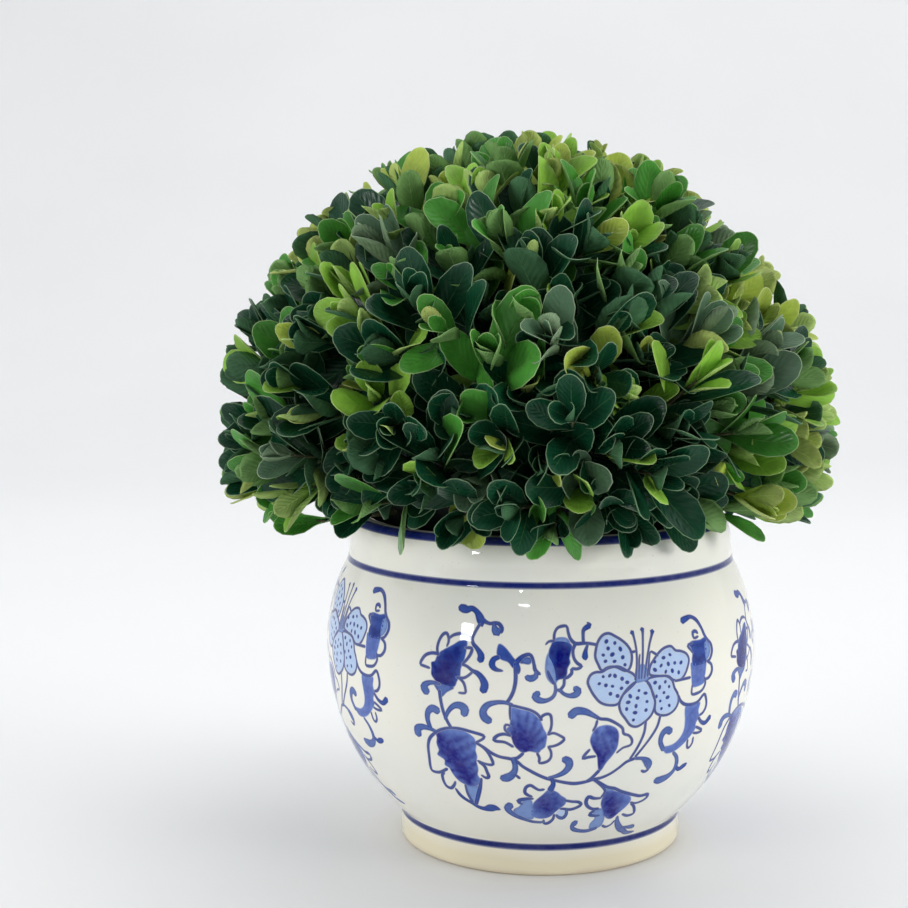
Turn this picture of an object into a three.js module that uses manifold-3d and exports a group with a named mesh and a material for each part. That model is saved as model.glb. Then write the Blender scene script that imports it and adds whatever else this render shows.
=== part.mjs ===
// Box topiary ball: a clipped ball of box sprigs that stands in the mouth of a round-bellied, glazed blue-and-white
// pot. Millimetres, +Z up, the origin at the centre of the pot's flat underside.
import * as THREE from "three";
import { mergeVertices } from "three/addons/utils/BufferGeometryUtils.js";
import Module from "manifold-3d";

const wasm = await Module();
wasm.setup();

// The pot's outside.
const FOOT_RADIUS = 46.3;
const FOOT_CHAMFER = 1.2;
const BELLY_RADIUS = 70.2;
const BELLY_HEIGHT = 65;
const BELLY_CURVE_BELOW = 75; // radius of the belly's arc under its widest ring
const BELLY_CURVE_ABOVE = 56; // and above it
const BELLY_STEPS = 13;
const NECK_HEIGHT = 93.2;
const COLLAR_RADIUS = 62; // where the collar starts to turn in to the rim
const COLLAR_HEIGHT = 99;
const RIM_RADIUS = 57.6; // the crest of the rim
const RIM_HEIGHT = 107.6;
const RIM_STEPS = 5;
const ROUND_STEPS = 50; // facets round the pot

// The pot's inside and underside.
const MOUTH_RADIUS = 55;
const MOUTH_TURN = 2.4; // height over which the rim turns down into the mouth
const MOUTH_DEPTH = 7;
const WALL = 5;
const INSIDE_STEPS = 5;
const FLOOR_THICKNESS = 8;
const FLOOR_CORNER = 4;
const GROOVE_INNER = 36.5; // the shallow wiped groove in the underside
const GROOVE_OUTER = 39.5;
const GROOVE_DEPTH = 0.9;
const GROOVE_SLOPE = 0.5;

// What fills the pot, and the gap that neighbours keep.
const GAP = 0.3;
const FILL_HEIGHT = 99;

// The short stem inside, from the filling into the ball.
const STEM_FLARE_RADIUS = 8;
const STEM_RADIUS = 4.6;
const STEM_TIP_RADIUS = 3.2;
const STEM_LENGTH = 32;
const STEM_FLARE_HEIGHT = 7;
const STEM_SIDES = 12;

// The clipped ball: its centre, its reach to the leaf tips, and the dense core that the sprigs stand out of.
const BALL = new THREE.Vector3(-4.6, 0, 134);
const REACH = new THREE.Vector3(99.5, 99.5, 95.5);
const CORE_REACH = 80;
const CORE_TOP_REACH = 77;
const CORE_FLAT_HEIGHT = RIM_HEIGHT + 1; // the core's flat underside over the rim
const CORE_SKIRT_INNER = 67.5; // it starts to hang past the rim here
const CORE_SKIRT_OUTER = 70.5;
const CORE_SKIRT_HEIGHT = 104.5;
const CORE_STEPS = 28;
const CORE_ROWS = 9;

// The sprigs and their leaves.
const SPRIG_COUNT = 120;
const SPRIG_LOWEST = -0.36; // sine of the lowest sprig's angle at the ball's centre
const SPRIG_TILT = 0.2;
const TWIG_RADIUS = 1.5;
const TWIG_TIP = 0.75; // a twig's tip radius as a share of its root's
const TWIG_SUNK = 9;
const TWIG_REACH = 0.865; // a twig ends at this share of the ball's reach
const LEAF_LENGTH = 25;
const LEAF_WIDTH = 15.5;
const LEAF_THICKNESS = 1.2;
const LEAF_CUP = 1.6;
const LEAF_SUNK = 0.9;
const LEAF_TRIES = 6;
const LEAF_SPREAD = 0.35;
const LEAF_LOWEST = 98.6;
const CROSSING = 1e-3; // volume of overlap that counts as two leaves crossing
const SMOOTHING = 0.02; // slivers thinner than this are closed up
const WELD = 1e-3;
const SEED = 20417;
// Each opposite pair of leaves on a twig: its place along the bare part, its lean from the twig, its turn about the
// twig, and its size.
const LEAF_PAIRS = [
  { along: 0.3, lean: 1.05, turn: 0, size: 1 },
  { along: 0.84, lean: 0.8, turn: Math.PI / 2, size: 0.96 },
];

const UP = new THREE.Vector3(0, 0, 1);
const SIDEWAYS = new THREE.Vector3(1, 0, 0);

const FINISHES = {
  glaze: { color: 0xe6e5da, roughness: 0.12, metalness: 0 },
  filling: { color: 0x5a4a35, roughness: 0.95, metalness: 0 },
  bark: { color: 0x6b5a41, roughness: 0.85, metalness: 0 },
  leaf: { color: 0x2f5a2a, roughness: 0.5, metalness: 0 },
};

// A repeatable stream of numbers from 0 to 1.
function seededRandom(seed) {
  let state = seed >>> 0;
  return () => {
    state = (state + 0x6d2b79f5) >>> 0;
    let t = Math.imul(state ^ (state >>> 15), state | 1);
    t ^= t + Math.imul(t ^ (t >>> 7), t | 61);
    return ((t ^ (t >>> 14)) >>> 0) / 4294967296;
  };
}

const point = (r, z) => new THREE.Vector2(r, z);

// The belly's radius at a height: two arcs that share the widest ring.
function bellyRadius(z) {
  const curve = z < BELLY_HEIGHT ? BELLY_CURVE_BELOW : BELLY_CURVE_ABOVE;
  return BELLY_RADIUS - curve + Math.sqrt(curve ** 2 - (z - BELLY_HEIGHT) ** 2);
}

// The height at which the lower arc of the belly meets the foot.
function footTop() {
  const inset = BELLY_CURVE_BELOW - (BELLY_RADIUS - FOOT_RADIUS);
  return BELLY_HEIGHT - Math.sqrt(BELLY_CURVE_BELOW ** 2 - inset ** 2);
}

// A solid of revolution about Z from a profile of radius and height that starts and ends on the axis.
function turned(profile, steps = ROUND_STEPS) {
  return new THREE.LatheGeometry(profile, steps).rotateX(Math.PI / 2);
}

// The pot's inner wall from under the rim down to the axis, moved in by a gap.
function innerWall(gap) {
  const top = RIM_HEIGHT - MOUTH_DEPTH - 4;
  const low = FLOOR_THICKNESS + FLOOR_CORNER;
  const points = Array.from({ length: INSIDE_STEPS + 1 }, (_, i) => {
    const z = top + ((low - top) * i) / INSIDE_STEPS;
    return point(bellyRadius(Math.min(z, NECK_HEIGHT)) - WALL - gap, z);
  });
  const floor = FLOOR_THICKNESS + gap;
  return [...points, point(bellyRadius(low) - WALL - FLOOR_CORNER - gap, floor), point(0, floor)];
}

// The outside from the foot's top edge to the crest of the rim.
function outerWall() {
  const low = footTop();
  const belly = Array.from({ length: BELLY_STEPS + 1 }, (_, i) => {
    const z = low + ((NECK_HEIGHT - low) * i) / BELLY_STEPS;
    return point(bellyRadius(z), z);
  });
  const turnIn = new THREE.CubicBezierCurve(
    point(COLLAR_RADIUS, COLLAR_HEIGHT),
    point(COLLAR_RADIUS - 0.7, COLLAR_HEIGHT + 4),
    point(RIM_RADIUS + 3, RIM_HEIGHT - 0.1),
    point(RIM_RADIUS, RIM_HEIGHT),
  );
  return [...belly, ...turnIn.getPoints(RIM_STEPS)];
}

// The glazed pot: flat foot, round belly, short collar and a rim that turns in to the mouth.
function potGeometry() {
  return turned([
    point(0, 0),
    point(GROOVE_INNER, 0),
    point(GROOVE_INNER + GROOVE_SLOPE, GROOVE_DEPTH),
    point(GROOVE_OUTER - GROOVE_SLOPE, GROOVE_DEPTH),
    point(GROOVE_OUTER, 0),
    point(FOOT_RADIUS - FOOT_CHAMFER, 0),
    point(FOOT_RADIUS, FOOT_CHAMFER),
    ...outerWall(),
    point(MOUTH_RADIUS + MOUTH_TURN * 0.4, RIM_HEIGHT - MOUTH_TURN * 0.25),
    point(MOUTH_RADIUS, RIM_HEIGHT - MOUTH_TURN),
    point(MOUTH_RADIUS, RIM_HEIGHT - MOUTH_DEPTH),
    ...innerWall(0),
  ]);
}

// The filling: the pot's inside up to just under the mouth, clear of the wall by the gap.
function fillGeometry() {
  const inside = innerWall(GAP).reverse();
  const edge = MOUTH_RADIUS - GAP;
  const top = [point(edge, RIM_HEIGHT - MOUTH_DEPTH - 4), point(edge, FILL_HEIGHT), point(0, FILL_HEIGHT)];
  return turned([...inside, ...top]);
}

// The stem: a flat foot, a flare, then a taper that leans towards the ball's centre. It is made larger on every
// side to cut its seat in the core.
function stemGeometry(larger = 0) {
  const profile = [
    point(0, -larger),
    point(STEM_FLARE_RADIUS + larger, -larger),
    point(STEM_RADIUS + 1.2 + larger, STEM_FLARE_HEIGHT * 0.45),
    point(STEM_RADIUS + larger, STEM_FLARE_HEIGHT),
    point(STEM_TIP_RADIUS + larger, STEM_LENGTH + larger),
    point(0, STEM_LENGTH + larger),
  ];
  const lean = new THREE.Matrix4().set(1, 0, BALL.x / STEM_LENGTH / 2, 0, 0, 1, 0, 0, 0, 0, 1, 0, 0, 0, 0, 1);
  return turned(profile, STEM_SIDES).applyMatrix4(lean).translate(0, 0, FILL_HEIGHT + GAP);
}

// A closed geometry as a solid that can be joined and cut.
function solidOf(geometry) {
  const bare = new THREE.BufferGeometry().setAttribute("position", geometry.getAttribute("position"));
  if (geometry.index) {
    bare.setIndex(geometry.index);
  }
  const merged = mergeVertices(bare, WELD);
  return new wasm.Manifold(
    new wasm.Mesh({
      numProp: 3,
      vertProperties: new Float32Array(merged.attributes.position.array),
      triVerts: new Uint32Array(merged.index.array),
    }),
  );
}

// A solid as a geometry.
function geometryOf(solid) {
  const mesh = solid.getMesh();
  const geometry = new THREE.BufferGeometry()
    .setAttribute("position", new THREE.BufferAttribute(new Float32Array(mesh.vertProperties), 3))
    .setIndex(new THREE.BufferAttribute(new Uint32Array(mesh.triVerts), 1));
  geometry.computeVertexNormals();
  return geometry;
}

// Corner points and triangles as a solid.
function facetedSolid(corners, triangles) {
  const positions = new THREE.Float32BufferAttribute(corners.flatMap((corner) => corner.toArray()), 3);
  return solidOf(new THREE.BufferGeometry().setAttribute("position", positions).setIndex(triangles.flat()));
}

// The dense core: a plug in the pot's mouth, a skirt that hangs past the rim, and the ball above it, with the
// stem's seat cut out.
function coreSolid() {
  const plug = MOUTH_RADIUS - 3 * GAP - Math.abs(BALL.x);
  const skirtAngle = Math.asin((CORE_SKIRT_HEIGHT - BALL.z) / CORE_TOP_REACH);
  const profile = [
    point(0, FILL_HEIGHT + GAP),
    point(plug, FILL_HEIGHT + GAP),
    point(plug, CORE_FLAT_HEIGHT),
    point(CORE_SKIRT_INNER, CORE_FLAT_HEIGHT),
    point(CORE_SKIRT_OUTER, CORE_SKIRT_HEIGHT),
  ];
  for (let i = 0; i <= CORE_ROWS; i++) {
    const angle = skirtAngle + ((Math.PI / 2 - skirtAngle) * i) / CORE_ROWS;
    const radius = i === CORE_ROWS ? 0 : CORE_REACH * Math.cos(angle);
    profile.push(point(radius, BALL.z + CORE_TOP_REACH * Math.sin(angle)));
  }
  const ball = solidOf(turned(profile, CORE_STEPS).translate(BALL.x, BALL.y, 0));
  return ball.subtract(solidOf(stemGeometry(GAP)));
}

// The space of the pot and a small clearance, which no leaf enters.
function potSpace() {
  const wall = [...outerWall(), point(RIM_RADIUS, RIM_HEIGHT), point(MOUTH_RADIUS, RIM_HEIGHT)];
  const profile = wall.map((p) => point(p.x + 3 * GAP, p.y + 3 * GAP));
  const base = profile[0].y;
  return solidOf(turned([point(0, base), ...profile, point(0, RIM_HEIGHT + 3 * GAP)]));
}

// A three-sided twig that tapers from its root to its tip.
function twigSolid(root, tip, across, beside) {
  const ring = (end, radius) =>
    [0, 1, 2].map((k) => {
      const angle = (2 * Math.PI * k) / 3;
      return end
        .clone()
        .addScaledVector(across, radius * Math.cos(angle))
        .addScaledVector(beside, radius * Math.sin(angle));
    });
  const sides = [0, 1, 2].flatMap((k) => {
    const next = (k + 1) % 3;
    return [
      [k, next, next + 3],
      [k, next + 3, k + 3],
    ];
  });
  return facetedSolid(
    [...ring(root, TWIG_RADIUS), ...ring(tip, TWIG_RADIUS * TWIG_TIP)],
    [[0, 2, 1], [3, 4, 5], ...sides],
  );
}

// The corners of a box leaf: a narrow base, its widest part past the middle, a blunt tip, the sides raised towards
// the twig, and one point behind the middle for its thickness.
function leafCorners(base, along, across, face, size) {
  const at = (u, v, w) =>
    base
      .clone()
      .addScaledVector(along, u * LEAF_LENGTH * size)
      .addScaledVector(across, v * LEAF_WIDTH * size)
      .addScaledVector(face, w);
  return [
    at(0, 0, 0),
    at(0.52, -0.5, LEAF_CUP),
    at(0.97, -0.26, 0),
    at(0.97, 0.26, 0),
    at(0.52, 0.5, LEAF_CUP),
    at(0.55, 0, -LEAF_THICKNESS),
  ];
}

const LEAF_FACES = [
  [0, 1, 2],
  [0, 2, 3],
  [0, 3, 4],
  [5, 1, 0],
  [5, 2, 1],
  [5, 3, 2],
  [5, 4, 3],
  [5, 0, 4],
];

// Whether a point is within the ball's reach and above the lowest leaf.
function inReach(p) {
  return p.clone().sub(BALL).divide(REACH).length() <= 1 && p.z >= LEAF_LOWEST;
}

// The sprigs' directions: a golden spiral over the ball from its top to its lowest sprigs.
function sprigDirections() {
  const golden = Math.PI * (3 - Math.sqrt(5));
  return Array.from({ length: SPRIG_COUNT }, (_, i) => {
    const sine = 1 - ((1 - SPRIG_LOWEST) * (i + 0.5)) / SPRIG_COUNT;
    const level = Math.sqrt(1 - sine ** 2);
    return new THREE.Vector3(level * Math.cos(golden * i), level * Math.sin(golden * i), sine);
  });
}

// One sprig: its axis, its root inside the core and its tip, with two directions across it.
function sprigAt(direction, random) {
  const spread = () => (2 * random() - 1) * SPRIG_TILT;
  const axis = direction.clone().add(new THREE.Vector3(spread(), spread(), spread())).normalize();
  const foot = direction.clone().multiply(new THREE.Vector3(CORE_REACH, CORE_REACH, CORE_TOP_REACH)).add(BALL);
  const root = foot.clone().addScaledVector(axis, -TWIG_SUNK);
  root.z = Math.max(root.z, CORE_FLAT_HEIGHT + 2 * TWIG_RADIUS);
  const end = direction.clone().multiply(REACH).multiplyScalar(TWIG_REACH).add(BALL);
  const tip = foot.clone().addScaledVector(axis, end.distanceTo(foot) / axis.dot(direction));
  const straight = tip.clone().sub(root).normalize();
  const across = new THREE.Vector3().crossVectors(Math.abs(straight.z) > 0.9 ? SIDEWAYS : UP, straight).normalize();
  const beside = new THREE.Vector3().crossVectors(straight, across);
  return { axis: straight, root, foot, tip, across, beside };
}

// One try at a leaf of a sprig: each further try is turned and leant a little further and is a little smaller.
function leafTry(sprig, pair, side, turn, attempt, random) {
  const spread = () => (2 * random() - 1) * LEAF_SPREAD * (0.5 + 0.5 * attempt);
  const angle = turn + pair.turn + side + spread();
  const lean = pair.lean + spread() * 0.5;
  const out = sprig.across
    .clone()
    .multiplyScalar(Math.cos(angle))
    .addScaledVector(sprig.beside, Math.sin(angle));
  const along = sprig.axis.clone().multiplyScalar(Math.cos(lean)).addScaledVector(out, Math.sin(lean));
  const face = sprig.axis.clone().multiplyScalar(Math.sin(lean)).addScaledVector(out, -Math.cos(lean));
  const width = new THREE.Vector3().crossVectors(face, along);
  const base = sprig.foot.clone().lerp(sprig.tip, pair.along).addScaledVector(along, -LEAF_SUNK);
  const corners = leafCorners(base, along, width, face, pair.size * (1 - 0.05 * attempt));
  return { corners, middle: corners[5] };
}

// All the leaves of the crown. A leaf that would leave the ball's reach, enter the pot's space or cross another
// leaf is tried again, and then skipped.
function crownLeaves(sprigs, random) {
  const keepOut = potSpace();
  const leaves = [];
  const fits = (corners, middle, solid) =>
    corners.every(inReach) &&
    keepOut.intersect(solid).volume() < CROSSING &&
    !leaves.some(
      (other) =>
        other.middle.distanceTo(middle) < LEAF_LENGTH && other.solid.intersect(solid).volume() > CROSSING,
    );
  for (const sprig of sprigs) {
    const turn = random() * Math.PI;
    for (const pair of LEAF_PAIRS) {
      for (const side of [0, Math.PI]) {
        for (let attempt = 0; attempt < LEAF_TRIES; attempt++) {
          const { corners, middle } = leafTry(sprig, pair, side, turn, attempt, random);
          const solid = facetedSolid(corners, LEAF_FACES);
          if (fits(corners, middle, solid)) {
            leaves.push({ solid, middle });
            break;
          }
        }
      }
    }
  }
  return leaves.map((leaf) => leaf.solid);
}

// The largest single body of a solid, welded, so that no loose scrap or sealed pocket is left in it.
function oneBody(solid) {
  let body = solid;
  for (let pass = 0; pass < 3; pass++) {
    const bodies = body.decompose().sort((a, b) => b.volume() - a.volume());
    body = solidOf(geometryOf(bodies[0]));
  }
  return body;
}

// The crown: the core with every sprig's twig and leaves joined to it.
function crownSolid() {
  const random = seededRandom(SEED);
  const sprigs = sprigDirections().map((direction) => sprigAt(direction, random));
  const twigs = sprigs.map((sprig) => twigSolid(sprig.root, sprig.tip, sprig.across, sprig.beside));
  const crown = wasm.Manifold.union([coreSolid(), ...twigs, ...crownLeaves(sprigs, random)]);
  return oneBody(crown.simplify(SMOOTHING));
}

function named(name, geometry, finish) {
  const mesh = new THREE.Mesh(geometry, new THREE.MeshStandardMaterial({ name: finish, ...FINISHES[finish] }));
  mesh.name = name;
  return mesh;
}

const plant = new THREE.Group();
plant.name = "box_topiary_ball";
plant.add(named("pot", potGeometry(), "glaze"));
plant.add(named("pot_filling", fillGeometry(), "filling"));
plant.add(named("stem", stemGeometry(), "bark"));
plant.add(named("crown", geometryOf(crownSolid()), "leaf"));

export default plant;
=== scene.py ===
"""Box topiary ball in a blue-and-white pot: the visual model, in metres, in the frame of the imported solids.

Sizes in the classes are millimetres; Builder.piece turns them to metres.
"""
import logging
import math
from collections import defaultdict
from dataclasses import dataclass, field
from enum import Enum
from typing import Iterable, Sequence

import bpy
import numpy as np
from mathutils import Matrix, Vector
from mathutils.geometry import delaunay_2d_cdt


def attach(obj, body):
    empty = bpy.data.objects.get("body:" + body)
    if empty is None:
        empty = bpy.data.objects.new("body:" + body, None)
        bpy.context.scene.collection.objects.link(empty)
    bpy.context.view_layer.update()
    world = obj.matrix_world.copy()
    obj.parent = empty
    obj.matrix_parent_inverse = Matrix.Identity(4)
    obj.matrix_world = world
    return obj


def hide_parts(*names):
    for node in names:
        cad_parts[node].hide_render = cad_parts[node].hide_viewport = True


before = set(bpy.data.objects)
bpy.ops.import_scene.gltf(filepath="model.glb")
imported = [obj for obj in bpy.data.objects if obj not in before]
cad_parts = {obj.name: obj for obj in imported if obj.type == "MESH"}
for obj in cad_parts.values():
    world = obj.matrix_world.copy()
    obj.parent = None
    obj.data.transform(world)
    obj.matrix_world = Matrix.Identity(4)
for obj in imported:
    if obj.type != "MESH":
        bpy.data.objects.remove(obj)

LOG = logging.getLogger("topiary")
MM = 0.001
FULL_TURN = 2.0 * math.pi
GOLDEN_TURN = math.pi * (3.0 - math.sqrt(5.0))
TINY = 1e-9
Colour = tuple[float, float, float]
Place = tuple[float, float, float]
Inputs = dict[int | str, object]


# Meshes


@dataclass
class Surface:
    """Points in millimetres with faces as flat runs of corners, one slot number for each face."""

    points: np.ndarray
    corners: np.ndarray
    counts: np.ndarray
    slots: np.ndarray | None = None
    smooth: np.ndarray | None = None
    normals: np.ndarray | None = None
    attributes: dict[str, np.ndarray] = field(default_factory=dict)
    uv: np.ndarray | None = None

    @staticmethod
    def joined(parts: Sequence["Surface"]) -> "Surface":
        """One surface of several, each after the last.

        Args:
            parts: surfaces that all have the same attributes.

        Returns:
            The joined surface.
        """
        starts = np.cumsum([0] + [len(p.points) for p in parts[:-1]])

        optional = {}
        for key in ("slots", "smooth", "normals", "uv"):
            values = [getattr(p, key) for p in parts]
            optional[key] = None if any(v is None for v in values) else np.concatenate(values)
        return Surface(
            points=np.concatenate([p.points for p in parts]),
            corners=np.concatenate([p.corners + s for p, s in zip(parts, starts)]),
            counts=np.concatenate([p.counts for p in parts]),
            attributes={k: np.concatenate([p.attributes[k] for p in parts]) for k in parts[0].attributes},
            **optional,
        )


def grid_faces(rows: int, columns: int, wrap: bool = False) -> tuple[np.ndarray, np.ndarray]:
    """Quads of a grid whose points run along each row in turn.

    Args:
        rows: number of rows of points.
        columns: number of points in a row.
        wrap: joins the last column to the first.

    Returns:
        The corners of the quads in one run, and the number of corners of each.
    """
    row = np.arange(rows - 1)[:, None] * columns
    place = np.arange(columns if wrap else columns - 1)
    following = (place + 1) % columns
    above = row + columns
    quads = np.stack([row + place, row + following, above + following, above + place], -1).reshape(-1, 4)
    return quads.ravel(), np.full(len(quads), 4)


def full_turn(count: int) -> np.ndarray:
    """Evenly spaced angles of a full turn."""
    return np.arange(count) * FULL_TURN / count


def turned(radius: np.ndarray, height: np.ndarray, angle: np.ndarray) -> np.ndarray:
    """Points at a radius and a height, turned about Z from the front."""
    return np.stack(np.broadcast_arrays(radius * np.sin(angle), -radius * np.cos(angle), height), -1)


def tube(points: np.ndarray) -> Surface:
    """Rings of points joined to one another, with a face over the first and over the last.

    Args:
        points: the points, by ring and by place round it.

    Returns:
        The closed surface.
    """
    rings, around = points.shape[:2]
    corners, counts = grid_faces(rings, around, wrap=True)
    ends = np.concatenate([np.arange(around)[::-1], (rings - 1) * around + np.arange(around)])
    return Surface(points.reshape(-1, 3), np.concatenate([corners, ends]),
                   np.concatenate([counts, [around, around]]))


def unit(vectors: np.ndarray) -> np.ndarray:
    """Vectors at length one."""
    return vectors / np.maximum(np.linalg.norm(vectors, axis=-1, keepdims=True), TINY)


class Builder:
    """Turns surfaces into pieces that ride on the one body."""

    @staticmethod
    def piece(name: str, surface: Surface, materials: Sequence[bpy.types.Material], slot: str,
              replaces: Iterable[str] = ()) -> bpy.types.Object:
        """Makes a mesh object in metres and ties it to the body.

        Args:
            name: the piece's name.
            surface: its points and faces, in millimetres.
            materials: one for each slot number of the surface.
            slot: the record's material slot; not used.
            replaces: names of the solids that it stands for.

        Returns:
            The new object.
        """
        mesh = bpy.data.meshes.new(name)
        mesh.vertices.add(len(surface.points))
        mesh.vertices.foreach_set("co", (surface.points * MM).astype(np.float32).ravel())
        mesh.loops.add(len(surface.corners))
        mesh.loops.foreach_set("vertex_index", surface.corners.astype(np.int32))
        mesh.polygons.add(len(surface.counts))
        starts = np.concatenate([[0], np.cumsum(surface.counts)[:-1]])
        mesh.polygons.foreach_set("loop_start", starts.astype(np.int32))
        if surface.slots is not None:
            mesh.polygons.foreach_set("material_index", surface.slots.astype(np.int32))
        mesh.update(calc_edges=True)
        smooth = np.ones(len(surface.counts), bool) if surface.smooth is None else surface.smooth
        mesh.polygons.foreach_set("use_smooth", smooth)
        for key, values in surface.attributes.items():
            layer = mesh.attributes.new(key, "FLOAT", "POINT")
            layer.data.foreach_set("value", values.astype(np.float32))
        if surface.uv is not None:
            layer = mesh.uv_layers.new(name="UVMap")
            layer.uv.foreach_set("vector", surface.uv[surface.corners].astype(np.float32).ravel())
        if surface.normals is not None:
            mesh.normals_split_custom_set_from_vertices(surface.normals.tolist())
        for material in materials:
            mesh.materials.append(material)
        thing = bpy.data.objects.new(name, mesh)
        bpy.context.scene.collection.objects.link(thing)
        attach(thing, "root")
        if replaces:
            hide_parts(*replaces)
        LOG.info("%s: %d faces, %d triangles", name, len(surface.counts), (surface.counts - 2).sum())
        return thing


# Finishes

RANGE_SOCKETS = ("From Min", "From Max", "To Min", "To Max")


def shaded(colour: Colour, factor: float, added: float = 0.0) -> Colour:
    """A colour made darker or lighter by a factor, with a little white added."""
    return tuple(min(1.0, c * factor + added) for c in colour)


class Nodes:
    """A short way to lay out a material's nodes."""

    # Numbers of a colour mix node's sockets: the factor and both colours, and the result.
    MIX_INPUTS = (0, 6, 7)
    MIX_RESULT = 2

    def __init__(self, name: str) -> None:
        """Starts a material with one surface shader."""
        self.material = bpy.data.materials.new(name)
        self.material.use_nodes = True
        self.tree = self.material.node_tree
        self.shader = self.tree.nodes["Principled BSDF"]

    def feed(self, node: bpy.types.Node, inputs: Inputs) -> None:
        """Joins a node's inputs to sockets or sets their values. None leaves an input as it is."""
        for key, value in inputs.items():
            socket = node.inputs[key]
            if isinstance(value, bpy.types.NodeSocket):
                self.tree.links.new(value, socket)
            elif value is not None:
                socket.default_value = (*value, 1.0) if socket.type == "RGBA" else value

    def node(self, kind: str, inputs: Inputs | None = None, **values: object) -> bpy.types.Node:
        """Adds a node of a kind, sets its properties and feeds its inputs."""
        made = self.tree.nodes.new("ShaderNode" + kind)
        for key, value in values.items():
            setattr(made, key, value)
        self.feed(made, inputs or {})
        return made

    def set(self, **values: object) -> None:
        """Sets inputs of the surface shader, with _ for a space in their names."""
        self.feed(self.shader, {key.replace("_", " "): value for key, value in values.items()})

    def place(self, stretch: Place = (1.0, 1.0, 1.0)) -> bpy.types.NodeSocket:
        """The piece's own coordinates in metres, stretched."""
        own = self.node("TexCoord").outputs["Object"]
        return self.node("Mapping", {"Scale": stretch, "Vector": own}).outputs["Vector"]

    def attribute(self, name: str) -> bpy.types.NodeSocket:
        """A value that is kept at the mesh's points."""
        return self.node("Attribute", attribute_name=name).outputs["Fac"]

    def noise(self, scale: float, detail: float = 3.0, rough: float = 0.5,
              stretch: Place = (1.0, 1.0, 1.0), warp: float = 0.0) -> bpy.types.NodeSocket:
        """Cloudy noise on the piece's own coordinates."""
        inputs = {"Scale": scale, "Detail": detail, "Roughness": rough, "Distortion": warp}
        return self.node("TexNoise", {**inputs, "Vector": self.place(stretch)}).outputs["Fac"]

    def ramp(self, value: bpy.types.NodeSocket,
             stops: Sequence[tuple[float, Colour]]) -> bpy.types.NodeSocket:
        """Colours along a value."""
        made = self.node("ValToRGB", {"Fac": value})
        ramp = made.color_ramp
        while len(ramp.elements) < len(stops):
            ramp.elements.new(0.5)
        for element, (at, colour) in zip(ramp.elements, stops):
            element.position = at
            element.color = (*colour, 1.0)
        return made.outputs["Color"]

    def span(self, value: bpy.types.NodeSocket, low: float, high: float, to_low: float = 0.0,
             to_high: float = 1.0) -> bpy.types.NodeSocket:
        """A value carried from one range to another."""
        ends = dict(zip(RANGE_SOCKETS, (low, high, to_low, to_high)))
        return self.node("MapRange", {"Value": value, **ends}).outputs["Result"]

    def math(self, operation: str, first: object, second: object = None) -> bpy.types.NodeSocket:
        """One step of arithmetic on values or sockets."""
        return self.node("Math", {0: first, 1: second}, operation=operation).outputs["Value"]

    def mix(self, factor: object, first: object, second: object) -> bpy.types.NodeSocket:
        """Two colours mixed by a factor."""
        inputs = dict(zip(self.MIX_INPUTS, (factor, first, second)))
        return self.node("Mix", inputs, data_type="RGBA").outputs[self.MIX_RESULT]

    def bump(self, height: bpy.types.NodeSocket, depth_mm: float, strength: float = 1.0,
             under: bpy.types.NodeSocket | None = None) -> bpy.types.NodeSocket:
        """Relief from a height of 0 to 1, so many millimetres deep."""
        inputs = {"Distance": depth_mm * MM, "Strength": strength, "Height": height, "Normal": under}
        return self.node("Bump", inputs).outputs["Normal"]

    def finish(self, colour: bpy.types.NodeSocket | None = None, normal: bpy.types.NodeSocket | None = None,
               roughness: bpy.types.NodeSocket | None = None) -> bpy.types.Material:
        """Joins what has been worked out to the surface shader."""
        self.feed(self.shader, {"Base Color": colour, "Normal": normal, "Roughness": roughness})
        return self.material


@dataclass(frozen=True)
class GlazeFinish:
    """Clear gloss glaze over a warm white body, creamy on the foot and bare at its lower edge.

    Heights are metres, and the depths of the relief millimetres.
    """

    body: Colour = (0.83, 0.815, 0.735)
    cool: Colour = (0.775, 0.785, 0.735)
    speck: Colour = (0.38, 0.33, 0.25)
    cream: Colour = (0.75, 0.69, 0.51)
    bare: Colour = (0.66, 0.58, 0.44)
    speck_cover: float = 0.35
    gloss: float = 0.045
    bare_roughness: float = 0.62
    cream_starts: float = 0.012
    cream_full: float = 0.006
    bare_starts: float = 0.0034
    bare_full: float = 0.0020
    line_drift: float = 0.003
    ripple_depth: float = 0.22
    peel_depth: float = 0.012

    def surface(self, nodes: Nodes) -> tuple[bpy.types.NodeSocket, ...]:
        """Colour, relief and roughness that the bare glaze and the painting under it share.

        Args:
            nodes: the material in the making.

        Returns:
            The colour, normal and roughness sockets.
        """
        nodes.set(IOR=1.5, Specular_IOR_Level=0.5, Coat_Weight=0.15, Coat_Roughness=0.03)
        clouds = nodes.mix(nodes.span(nodes.noise(22.0, 4.0), 0.38, 0.66), self.body, self.cool)
        specks = nodes.span(nodes.noise(1500.0, 1.0), 0.745, 0.79)
        speckled = nodes.mix(nodes.math("MULTIPLY", specks, self.speck_cover), clouds, self.speck)
        height = nodes.node("SeparateXYZ", {0: nodes.place()}).outputs["Z"]
        drift = nodes.math("MULTIPLY", nodes.noise(40.0, 2.0), self.line_drift)
        level = nodes.math("ADD", height, drift)
        creamy = nodes.mix(nodes.span(level, self.cream_starts, self.cream_full), speckled, self.cream)
        colour = nodes.mix(nodes.span(level, self.bare_starts, self.bare_full), creamy, self.bare)
        ripple = nodes.bump(nodes.noise(28.0, 2.0), self.ripple_depth, 0.5)
        peel = nodes.bump(nodes.noise(420.0, 2.0), self.peel_depth, 0.5, ripple)
        rough = nodes.span(level, self.bare_full, self.bare_starts, self.bare_roughness, self.gloss)
        return colour, peel, rough

    def make(self) -> bpy.types.Material:
        """The finish of the unpainted pot."""
        nodes = Nodes("white_glaze")
        return nodes.finish(*self.surface(nodes))


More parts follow.
